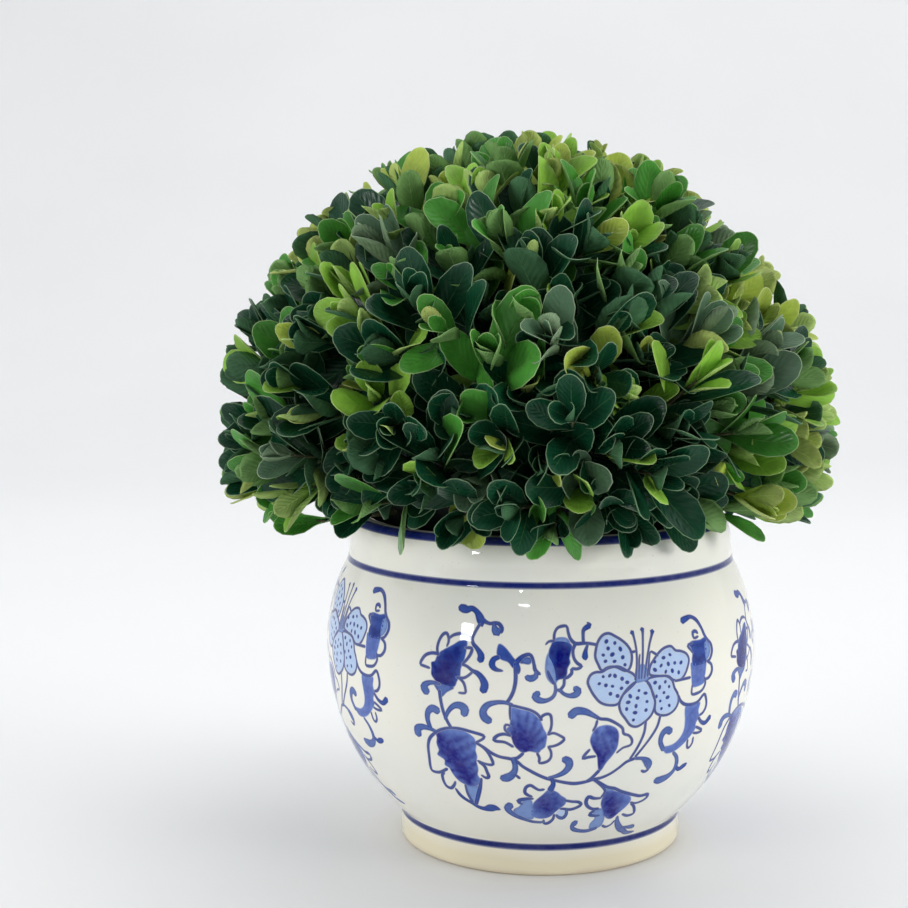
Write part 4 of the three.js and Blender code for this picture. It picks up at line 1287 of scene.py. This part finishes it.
@dataclass
class LeafShape:
    """A box leaf: a grid of six rows and five points across, a rim round that, and a like grid behind.

    Its half width rises as a power of a sine up to its widest part, and falls from there to the tip as the
    root of one less a power. Its sides lift with the square of their distance from the middle, and it droops
    with the square of the distance along it.
    """

    rows: np.ndarray = field(default_factory=lambda: np.array([0.0, 0.21, 0.45, 0.69, 0.88, 0.975]))
    columns: np.ndarray = field(default_factory=lambda: np.array([-1.0, -0.5, 0.0, 0.5, 1.0]))
    widest: float = 0.63
    thickness: float = 0.34
    margin: float = 0.2
    fold: float = 0.10

    def half_width(self, u: np.ndarray) -> np.ndarray:
        """Half the width at a share of the length, as a share of the widest."""
        rise = 0.07 + 0.93 * np.sin(np.clip(u / self.widest, 0, 1) * math.pi / 2) ** 1.55
        fall = np.sqrt(np.clip(1 - np.clip((u - self.widest) / (1 - self.widest), 0, 1) ** 2.4, 0, 1))
        return np.where(u < self.widest, rise, fall)

    def template(self) -> tuple[np.ndarray, np.ndarray, np.ndarray, np.ndarray, np.ndarray]:
        """The points of one leaf, and its faces.

        Returns:
            Share along, share across and side (1 front, 0 rim, -1 back) of each point, then the corners of
            the faces in one run, and the number of corners with the slot of each face.
        """
        rows, columns = len(self.rows), len(self.columns)
        u, v = np.meshgrid(self.rows, self.columns, indexing="ij")
        u_back, v_back = u[:, 1:-1], v[:, 1:-1]
        u = u.copy()
        u[-1] += (1 - self.rows[-1]) * (1 - self.columns**2)
        front = np.arange(rows * columns).reshape(rows, columns)
        loop = np.concatenate([front[:, 0], front[-1, 1:-1], front[::-1, -1]])
        rim = front.size + np.arange(len(loop))
        inner = front.size + len(loop) + np.arange(u_back.size).reshape(u_back.shape)
        back = np.concatenate([rim[:rows, None], inner, rim[::-1][:rows, None]], 1)
        tip = rim[rows - 1:rows + columns - 1]
        u_all = np.concatenate([u.ravel(), u.ravel()[loop], u_back.ravel()])
        v_all = np.concatenate([v.ravel(), v.ravel()[loop], v_back.ravel()])
        side = np.concatenate([np.ones(front.size), np.zeros(len(loop)), -np.ones(inner.size)])
        upper = np.stack([front[:-1, :-1], front[1:, :-1], front[1:, 1:], front[:-1, 1:]], -1).reshape(-1, 4)
        edge = np.stack([loop[:-1], rim[:-1], rim[1:], loop[1:]], -1)
        lower = np.stack([back[:-1, :-1], back[:-1, 1:], back[1:, 1:], back[1:, :-1]], -1).reshape(-1, 4)
        close = np.stack([back[-1, 1:-2], back[-1, 2:-1], tip[2:-1], tip[1:-2]], -1)
        ends = np.array([[tip[0], back[-1, 1], tip[1]], [back[-1, -2], tip[-1], tip[-2]]])
        foot = np.concatenate([front[0], back[0, ::-1]])
        parts = ((upper, 0), (edge, 1), (lower, 2), (close, 2), (ends, 2), (foot[None], 2))
        corners = np.concatenate([faces.ravel() for faces, _ in parts])
        marks = [np.tile([faces.shape[1], slot], (len(faces), 1)) for faces, slot in parts]
        return u_all, v_all, side, corners, np.concatenate(marks)

    def leaves(self, leaf: dict[str, np.ndarray]) -> Surface:
        """All leaves of one tint as one surface.

        Args:
            leaf: one row for each leaf in each array. base is its foot, along the way it points, and face
                the way its front faces, at right angles to along. length and width are its size. cup is the
                rise of its sides as a share of its half width, droop the fall of its tip as a share of its
                length, and twist the turn of its tip about its length.

        Returns:
            The joined leaves.
        """
        base, along, face = (leaf[key][:, None] for key in ("base", "along", "face"))
        length, width = leaf["length"][:, None], leaf["width"][:, None]
        cup, droop, twist = (leaf[key][:, None] for key in ("cup", "droop", "twist"))
        u, v, side, corners, marks = self.template()
        share = self.half_width(np.minimum(u, self.rows[-1]))
        out_x = (u - 0.5) / length
        out_y = v * share / width
        step = (side == 0) * self.margin / np.maximum(np.hypot(out_x, out_y), 1e-6)
        x = length * u + step * out_x
        y = width / 2 * share * v + step * out_y
        body = self.thickness * np.where(side > 0, 0.5, np.where(side < 0, -0.5 - 0.5 * (v == 0), 0.0))
        z = cup * y**2 / (width / 2) + self.fold * np.abs(y) - droop * length * u**2 + body
        turn = twist * u
        y, z = y * np.cos(turn) - z * np.sin(turn) * 0.5, z + y * np.sin(turn)
        across = np.cross(face, along)
        points = base + along * x[..., None] + across * y[..., None] + face * z[..., None]
        count = len(leaf["length"])
        offset = np.arange(count)[:, None] * len(u)
        slots = np.tile(marks[:, 1], count)
        return Surface(
            points=points.reshape(-1, 3),
            corners=(corners[None] + offset).ravel(),
            counts=np.tile(marks[:, 0], count),
            slots=slots,
            smooth=slots != 1,
            uv=np.tile(np.stack([u, v * 0.5 + 0.5], -1), (count, 1)),
        )


@dataclass(frozen=True)
class Habit:
    """How leaves sit on a sprig and how they vary: ranges are low and high, spreads standard deviations."""

    # Distance back from the tip, lean from the twig and size of each crossed pair.
    pairs: tuple[tuple[float, float, float], ...] = (
        (0.0, 0.14, 0.60), (2.6, 0.29, 0.82), (6.5, 0.44, 0.98), (11.5, 0.62, 1.02), (17.0, 0.82, 0.98))
    # Share of the leaves, pair by pair, painted deep green as shade deeper inside the ball.
    deep_shade_share: tuple[float, ...] = (0.0, 0.05, 0.20, 0.50, 0.75)
    # Share of the leaves that take a tint of their own.
    stray_share: float = 0.17
    length: float = 24.5
    width: float = 0.46
    stalk: float = 0.6
    vigour_range: tuple[float, float] = (0.86, 1.12)
    size_range: tuple[float, float] = (0.74, 1.14)
    width_range: tuple[float, float] = (0.86, 1.12)
    turn_spread: float = 0.20
    lean_spread: float = 0.19
    roll_spread: float = 0.34
    cup: float = 0.18
    cup_spread: float = 0.16
    droop: float = 0.02
    droop_spread: float = 0.09
    twist_spread: float = 0.3
    # How often a leaf that doesn't fit is shortened, and by what.
    trims: int = 5
    trim: float = 0.92


@dataclass
class Crown:
    """The clipped ball: sprigs on a golden spiral, each with crossed pairs of leaves up to its tip."""

    centre: np.ndarray = field(default_factory=lambda: np.array([-4.6, 0.0, 134.0]))
    reach: np.ndarray = field(default_factory=lambda: np.array([101.5, 101.5, 98.0]))
    core_radius: float = 64.0
    core_height: float = 61.0
    sprigs: int = 305
    # How low the sprigs point, as a sine, and how far their axes stray from their direction.
    lowest: float = -0.34
    tilt: float = 0.34
    rise: float = 0.10
    # Share of the reach at which a sprig ends: the usual one, its spread, the least and the most.
    share: tuple[float, float, float, float] = (0.80, 0.05, 0.68, 0.90)
    twig: float = 28.0
    twig_radius: tuple[float, float] = (1.15, 0.40)
    twig_bow: float = 1.2
    habit: Habit = Habit()
    # How low leaves reach: the fringe, its spread, the share that hangs lower and how far, and the limit.
    fringe: float = 109.5
    fringe_spread: float = 3.0
    hanging: float = 0.20
    hang: float = 9.0
    lowest_leaf: float = 99.2
    # Within this radius nothing comes below this height, where the pot is.
    clear_radius: float = 63.5
    clear_height: float = 109.2
    heart_foot: float = 119.0
    heart_rings: int = 40
    heart_around: int = 96
    twig_rings: int = 9
    twig_sides: int = 6
    fewest_leaves: int = 4
    seed: int = 20417
    # Where the sprigs' brightness, painted light and shade by their place, parts the first four tints, and
    # the share that is grey.
    tint_shares: tuple[float, float, float] = (0.32, 0.63, 0.83)
    grey_share: float = 0.07
    # Places tested on each leaf: a share along, and how far to both sides, as a share of its half width.
    tests: tuple[tuple[float, float], ...] = (
        (0.0, 0.0), (0.15, 0.0), (0.3, 0.8), (0.45, 1.0), (0.6, 1.0), (0.75, 1.0), (0.9, 0.8), (1.03, 0.0))

    def directions(self) -> np.ndarray:
        """Unit directions on a golden spiral from the top down to the lowest sprigs."""
        i = np.arange(self.sprigs)
        sine = 1 - (1 - self.lowest) * (i + 0.5) / self.sprigs
        level = np.sqrt(1 - sine**2)
        return np.stack([level * np.cos(GOLDEN_TURN * i), level * np.sin(GOLDEN_TURN * i), sine], -1)

    def grow(self) -> None:
        """Lays out the sprigs, and works out each one's axis, root and tip with two directions across it."""
        rng = np.random.default_rng(self.seed)
        way = self.directions()
        axis = unit(way + rng.uniform(-self.tilt, self.tilt, way.shape) + [0, 0, self.rise])
        usual, spread, least, most = self.share
        share = rng.normal(usual, spread, self.sprigs).clip(least, most) - 0.04 * (way[:, 2] < -0.08)
        tip = self.centre + way * self.reach * share[:, None]
        root = tip - axis * self.twig
        root[:, 2] += np.clip(self.clear_height + 1.2 - root[:, 2], 0, self.twig)
        axis = unit(tip - root)
        helper = np.where(np.abs(axis[:, 2:]) > 0.9, [[1.0, 0, 0]], [[0, 0, 1.0]])
        across = unit(np.cross(helper, axis))
        self.rng, self.way, self.axis, self.tip, self.root = rng, way, axis, tip, root
        self.across, self.beside = across, np.cross(axis, across)

    def tints(self) -> np.ndarray:
        """A tint number for each sprig, dealt out by painted light and shade of its place, and by chance.

        Sprigs get lighter tints as painted light on both sides, most on the right, at the top and below, and
        darker tints as painted shade in front.

        Returns:
            The tints' numbers, in the order of Tint.
        """
        x, y, z = self.way.T
        # Painted light and shade: brightness by the way the sprig faces, as light falls on the ball.
        bright = 0.20 * x + 0.35 * np.abs(x) + 0.60 * z * (z > 0.35) + 0.45 * (z < -0.18)
        bright = bright - 0.95 * np.clip(-y, 0, 1) ** 2
        bright = bright + self.rng.normal(0, 0.55, self.sprigs)
        tint = np.digitize(bright, np.quantile(bright, self.tint_shares))
        grey = self.rng.uniform(size=self.sprigs) < self.grey_share
        return np.where(grey, list(Tint).index(Tint.SAGE), tint)

    def leaf_arrays(self) -> dict[str, np.ndarray]:
        """Foot, direction, front, size and bend of every leaf that stays in its space.

        A leaf's direction is the sprig's axis turned by its lean towards a direction across it. A leaf that
        leaves the ball's reach is shortened in steps. One that would still leave it, hang too low or enter
        the pot's space is left out, and so are the last leaves of a sprig that keeps too few.

        Returns:
            Arrays by name, one row for each leaf.
        """
        rng, count, habit = self.rng, self.sprigs, self.habit
        tint = self.tints()
        vigour = rng.uniform(*habit.vigour_range, count)
        # Painted shade: fewer leaves are painted deep at the top, where light falls.
        shade_by_height = 1.1 - 0.7 * np.clip(self.way[:, 2], 0, 1)
        first_turn = rng.uniform(0, math.pi, count)
        grown: list[dict[str, np.ndarray]] = []
        for pair, (back, usual_lean, usual_size) in enumerate(habit.pairs):
            for side in (0.0, math.pi):
                turn = first_turn + pair * math.pi / 2 + side + rng.normal(0, habit.turn_spread, count)
                lean = (usual_lean + rng.normal(0, habit.lean_spread, count))[:, None]
                length = habit.length * (usual_size * vigour * rng.uniform(*habit.size_range, count))
                out = self.across * np.cos(turn)[:, None] + self.beside * np.sin(turn)[:, None]
                along = self.axis * np.cos(lean) + out * np.sin(lean)
                face = self.axis * np.sin(lean) - out * np.cos(lean)
                roll = rng.normal(0, habit.roll_spread, count)[:, None]
                low = rng.normal(self.fringe, self.fringe_spread, count)
                low = low - self.hang * (rng.uniform(size=count) < self.hanging)
                stray = rng.uniform(size=count) < habit.stray_share
                # Leaves painted deep green as shade, more of them further down the sprig.
                painted_deep = rng.uniform(size=count) < habit.deep_shade_share[pair] * shade_by_height
                grown.append({
                    "sprig": np.arange(count),
                    "base": self.tip - self.axis * (back * vigour)[:, None] + along * habit.stalk,
                    "along": along,
                    "face": face * np.cos(roll) + np.cross(face, along) * np.sin(roll),
                    "length": length,
                    "width": length * habit.width * rng.uniform(*habit.width_range, count),
                    "cup": rng.normal(habit.cup, habit.cup_spread, count),
                    "droop": rng.normal(habit.droop * (1 + pair), habit.droop_spread, count),
                    "twist": rng.normal(0, habit.twist_spread, count),
                    "tint": np.where(painted_deep, 0, np.where(stray, rng.integers(0, 4, count), tint)),
                    "lowest": low.clip(self.lowest_leaf, None),
                })
        leaf = {key: np.concatenate([row[key] for row in grown]) for key in grown[0]}
        for _ in range(habit.trims):
            trim = np.where(self._fits(leaf), 1.0, habit.trim)
            leaf["length"], leaf["width"] = leaf["length"] * trim, leaf["width"] * trim
        fits = self._fits(leaf)
        enough = np.bincount(leaf["sprig"][fits], minlength=count) >= self.fewest_leaves
        fits &= enough[leaf["sprig"]]
        LOG.info("leaves: %d of %d stay, on %d sprigs", fits.sum(), len(fits), enough.sum())
        return {key: values[fits] for key, values in leaf.items()}

    def _fits(self, leaf: dict[str, np.ndarray]) -> np.ndarray:
        """Whether the tested places of each leaf stay in reach, over its lowest height and off the pot."""
        across = np.cross(leaf["face"], leaf["along"])
        fits = np.ones(len(leaf["length"]), bool)
        for u, v in {(u, side * half) for u, half in self.tests for side in (-1, 0, 1)}:
            drop = -leaf["droop"] * leaf["length"] * u**2 + np.abs(v) * leaf["width"] * 0.12
            place = (leaf["base"] + leaf["along"] * (leaf["length"] * u)[:, None]
                     + across * (leaf["width"] * v / 2)[:, None] + leaf["face"] * drop[:, None])
            inside = (((place - self.centre) / self.reach) ** 2).sum(1) <= 1
            level = np.hypot(place[:, 0], place[:, 1])
            off_pot = (level > self.clear_radius) | (place[:, 2] > self.clear_height)
            fits &= inside & off_pot & (place[:, 2] > leaf["lowest"])
        return fits

    def twigs(self, leafy: np.ndarray) -> Surface:
        """A tapering tube along each sprig, bowed by a half sine across it.

        Args:
            leafy: the numbers of the sprigs that have kept their leaves.

        Returns:
            The tubes.
        """
        rings, sides = self.twig_rings, self.twig_sides
        t = np.linspace(0, 1, rings)[None, :, None]
        bow = self.rng.normal(0, self.twig_bow, (len(leafy), 1, 1)) * np.sin(t * math.pi)
        root, tip, across, beside = (v[leafy, None] for v in (self.root, self.tip, self.across, self.beside))
        line = root + (tip - root) * t + across * bow
        angle = full_turn(sides)[:, None]
        spoke = across * np.cos(angle) + beside * np.sin(angle)
        thick, thin = self.twig_radius
        radius = (thick - (thick - thin) * t)[..., None]
        points = line[:, :, None] + spoke[:, None] * radius
        corners, counts = grid_faces(rings, sides, wrap=True)
        corners = np.concatenate([corners, (rings - 1) * sides + np.arange(sides)])
        counts = np.concatenate([counts, [sides]])
        offset = np.arange(len(leafy))[:, None] * rings * sides
        return Surface(points.reshape(-1, 3), (corners + offset).ravel(), np.tile(counts, len(leafy)))

    def heart(self) -> Surface:
        """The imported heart: a ball with lumps from crossed waves, drawn in below to a plug in the pot."""
        angle = full_turn(self.heart_around)
        low = math.asin((self.heart_foot - self.centre[2]) / self.core_height)
        rise = np.linspace(low, math.pi / 2 - 0.02, self.heart_rings)[:, None]
        lumps = 0.02 * np.sin(9 * angle + 7 * rise) * np.sin(11 * rise + 3)
        lumps = lumps + 0.013 * np.sin(23 * angle - 17 * rise)
        r = self.core_radius * np.cos(rise) * (1 + lumps)
        z = self.centre[2] + self.core_height * np.sin(rise) * (1 + lumps * (rise > low + 0.1))
        brim = self.clear_height
        plug = np.array([(12.0, 101.0), (38, 101.0), (43, 101.4), (44.5, 103), (45.5, brim), (48, brim + 2)])
        shape = (len(plug), len(angle))
        r = np.concatenate([np.broadcast_to(plug[:, :1], shape), r])
        z = np.concatenate([np.broadcast_to(plug[:, 1:], shape), z])
        return tube(turned(r, z, angle) + [self.centre[0], 0, 0])

    def build(self) -> None:
        """Grows the ball and makes its pieces: heart, twigs, and one piece of leaves for each tint."""
        self.grow()
        leaf = self.leaf_arrays()
        shape = LeafShape()
        # The heart is coloured near-black as painted shade among the leaves.
        heart_shade = MatFinish("shade_dark_heart", (0.010, 0.016, 0.014), (0.003, 0.006, 0.006), 220.0, 1.2)
        Builder.piece("ball_heart", self.heart(), [heart_shade.make()], "leaves", ["crown"])
        bark = BarkFinish("twig_bark", (0.11, 0.11, 0.05), (0.035, 0.036, 0.02), 700.0, 0.15)
        Builder.piece("ball_twigs", self.twigs(np.unique(leaf["sprig"])), [bark.make()], "leaves")
        for number, tint in enumerate(Tint):
            one = {key: values[leaf["tint"] == number] for key, values in leaf.items()}
            Builder.piece("leaves_" + tint.value.name, shape.leaves(one), tint.value.make(), "leaves")


# Floor, light and camera


@dataclass(frozen=True)
class Lamp:
    """An area light, its place, aim and size in metres. It lights matt surfaces, shows in gloss, or both."""

    name: str
    at: Place
    aim: Place
    size: tuple[float, float]
    watts: float
    colour: Colour = (1.0, 1.0, 1.0)
    lights: bool = True
    shows: bool = True

    def make(self) -> None:
        """Adds the light to the scene, turned to its aim."""
        lamp = bpy.data.lights.new(self.name, "AREA")
        lamp.shape = "RECTANGLE"
        lamp.size, lamp.size_y = self.size
        lamp.energy = self.watts
        lamp.color = self.colour
        thing = bpy.data.objects.new(self.name, lamp)
        thing.location = self.at
        thing.rotation_euler = (Vector(self.aim) - Vector(self.at)).to_track_quat("-Z", "Y").to_euler()
        thing.visible_diffuse, thing.visible_glossy = self.lights, self.shows
        bpy.context.scene.collection.objects.link(thing)


WARM = (1.0, 0.99, 0.96)
LAMPS = (
    Lamp("top_soft", (0.1, 0.1, 1.25), (0, 0, 0.15), (1.4, 1.2), 6.8, WARM),
    Lamp("right_fill", (4.4, -1.75, 0.95), (0, 0, 0.10), (2.0, 1.6), 106.0, WARM, shows=False),
    Lamp("left_fill", (-4.1, -2.4, 0.80), (0, 0, 0.08), (2.0, 1.6), 90.0, WARM, shows=False),
    Lamp("wall_wash", (0.2, 1.3, 2.6), (0.1, 3.4, 1.3), (3.0, 0.8), 19.0, shows=False),
    Lamp("pane", (-0.880, -1.125, 0.480), (0, 0, 0.08), (0.15, 0.24), 6.0, lights=False),
    Lamp("neck_pane", (-0.80, -0.72, 1.15), (-0.02, -0.06, 0.093), (0.13, 0.06), 1.8, lights=False),
    Lamp("slit_high", (-0.19, -1.12, 1.14), (0, -0.06, 0.09), (0.13, 0.03), 0.42, lights=False),
    Lamp("slit_low", (-0.196, -1.27, 0.96), (0, -0.06, 0.09), (0.13, 0.03), 0.36, lights=False),
)


@dataclass
class Studio:
    """A pale floor that sweeps up behind, soft white light, and a camera at the photograph's angle."""

    floor_front: float = -3000.0
    floor_back: float = 1000.0
    floor_side: float = 4000.0
    sweep: float = 2400.0
    # Where the room's light changes from front to back, as the way's share along Y, and its strengths.
    room_span: tuple[float, float] = (-0.55, 0.15)
    room_strength: tuple[float, float] = (0.28, 1.01)
    room_colour: Colour = (0.97, 0.985, 1.0)
    camera_at: Place = (0.0, -522.38, 179.04)
    focal_px: float = 1595.2
    frame_px: float = 908.0
    sensor: float = 36.0
    yaw: float = -0.0534
    pitch: float = 0.1008
    roll: float = -0.007

    def floor(self) -> None:
        """The floor: a wide strip, level, then rising on a quarter circle behind."""
        angle = np.linspace(0, math.pi / 2, 24)[1:]
        level = np.linspace(self.floor_front, self.floor_back, 20)
        wall = self.floor_back + self.sweep
        y = np.concatenate([level, self.floor_back + self.sweep * np.sin(angle), [wall]])
        z = np.concatenate([0 * level, self.sweep - self.sweep * np.cos(angle), [2 * self.sweep]])
        x = np.linspace(-self.floor_side, self.floor_side, 12)
        points = np.stack(np.broadcast_arrays(x[None], y[:, None], z[:, None]), -1).reshape(-1, 3) * MM
        corners, _ = grid_faces(len(y), len(x))
        mesh = bpy.data.meshes.new("pale_floor")
        mesh.from_pydata(points.tolist(), [], corners.reshape(-1, 4).tolist())
        mesh.shade_smooth()
        nodes = Nodes("pale_floor")
        nodes.set(Roughness=0.55, Specular_IOR_Level=0.3)
        tone = nodes.ramp(nodes.noise(1.6, 3.0), ((0.3, (0.84, 0.85, 0.87)), (0.7, (0.88, 0.885, 0.895))))
        mesh.materials.append(nodes.finish(tone, nodes.bump(nodes.noise(60.0, 4.0), 0.3, 0.3)))
        floor = bpy.data.objects.new("pale_floor", mesh)
        bpy.context.scene.collection.objects.link(floor)

    def lights(self) -> None:
        """Soft lights, panes that show only in the glaze, and a white room that is dimmer in front."""
        for lamp in LAMPS:
            lamp.make()
        world = bpy.data.worlds.new("white_room")
        world.use_nodes = True
        nodes, links = world.node_tree.nodes, world.node_tree.links
        kinds = ("TexCoord", "SeparateXYZ", "MapRange")
        way, split, dim = (nodes.new("ShaderNode" + kind) for kind in kinds)
        for key, number in zip(RANGE_SOCKETS, (*self.room_span, *self.room_strength)):
            dim.inputs[key].default_value = number
        room = nodes["Background"].inputs
        room["Color"].default_value = (*self.room_colour, 1.0)
        links.new(way.outputs["Generated"], split.inputs[0])
        links.new(split.outputs["Y"], dim.inputs["Value"])
        links.new(dim.outputs["Result"], room["Strength"])
        bpy.context.scene.world = world
        view = bpy.context.scene.view_settings
        view.view_transform = "Standard"
        view.look = "None"
        view.exposure = 0.0

    def camera(self) -> None:
        """The camera: it faces along +Y, turned by yaw about Z, tipped down by pitch and rolled."""
        cy, sy = math.cos(self.yaw), math.sin(self.yaw)
        cp, sp = math.cos(self.pitch), math.sin(self.pitch)
        cr, sr = math.cos(self.roll), math.sin(self.roll)
        right = Vector((cy, -sy, 0.0))
        up = Vector((sp * sy, sp * cy, cp))
        ahead = Vector((cp * sy, cp * cy, -sp))
        x_axis = right * cr + up * sr
        y_axis = up * cr - right * sr
        data = bpy.data.cameras.new("photo_camera")
        data.sensor_width = self.sensor
        data.lens = self.sensor * self.focal_px / self.frame_px
        data.clip_start, data.clip_end = 0.01, 50.0
        camera = bpy.data.objects.new("photo_camera", data)
        turn = Matrix((x_axis, y_axis, -ahead)).transposed().to_4x4()
        camera.matrix_world = Matrix.Translation(Vector(self.camera_at) * MM) @ turn
        bpy.context.scene.collection.objects.link(camera)
        bpy.context.scene.camera = camera


def main() -> None:
    """Builds the plant, its pot and the studio."""
    logging.basicConfig(level=logging.INFO, format="%(name)s %(message)s")
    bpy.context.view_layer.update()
    pot = Pot()
    pot.build(GlazeFinish().make())
    painting = Painting(pot)
    painting.scroll()
    painting.bands()
    Filling(pot).build()
    Stem().build()
    Crown().build()
    studio = Studio()
    studio.floor()
    studio.lights()
    studio.camera()


if __name__ == "__main__":
    main()
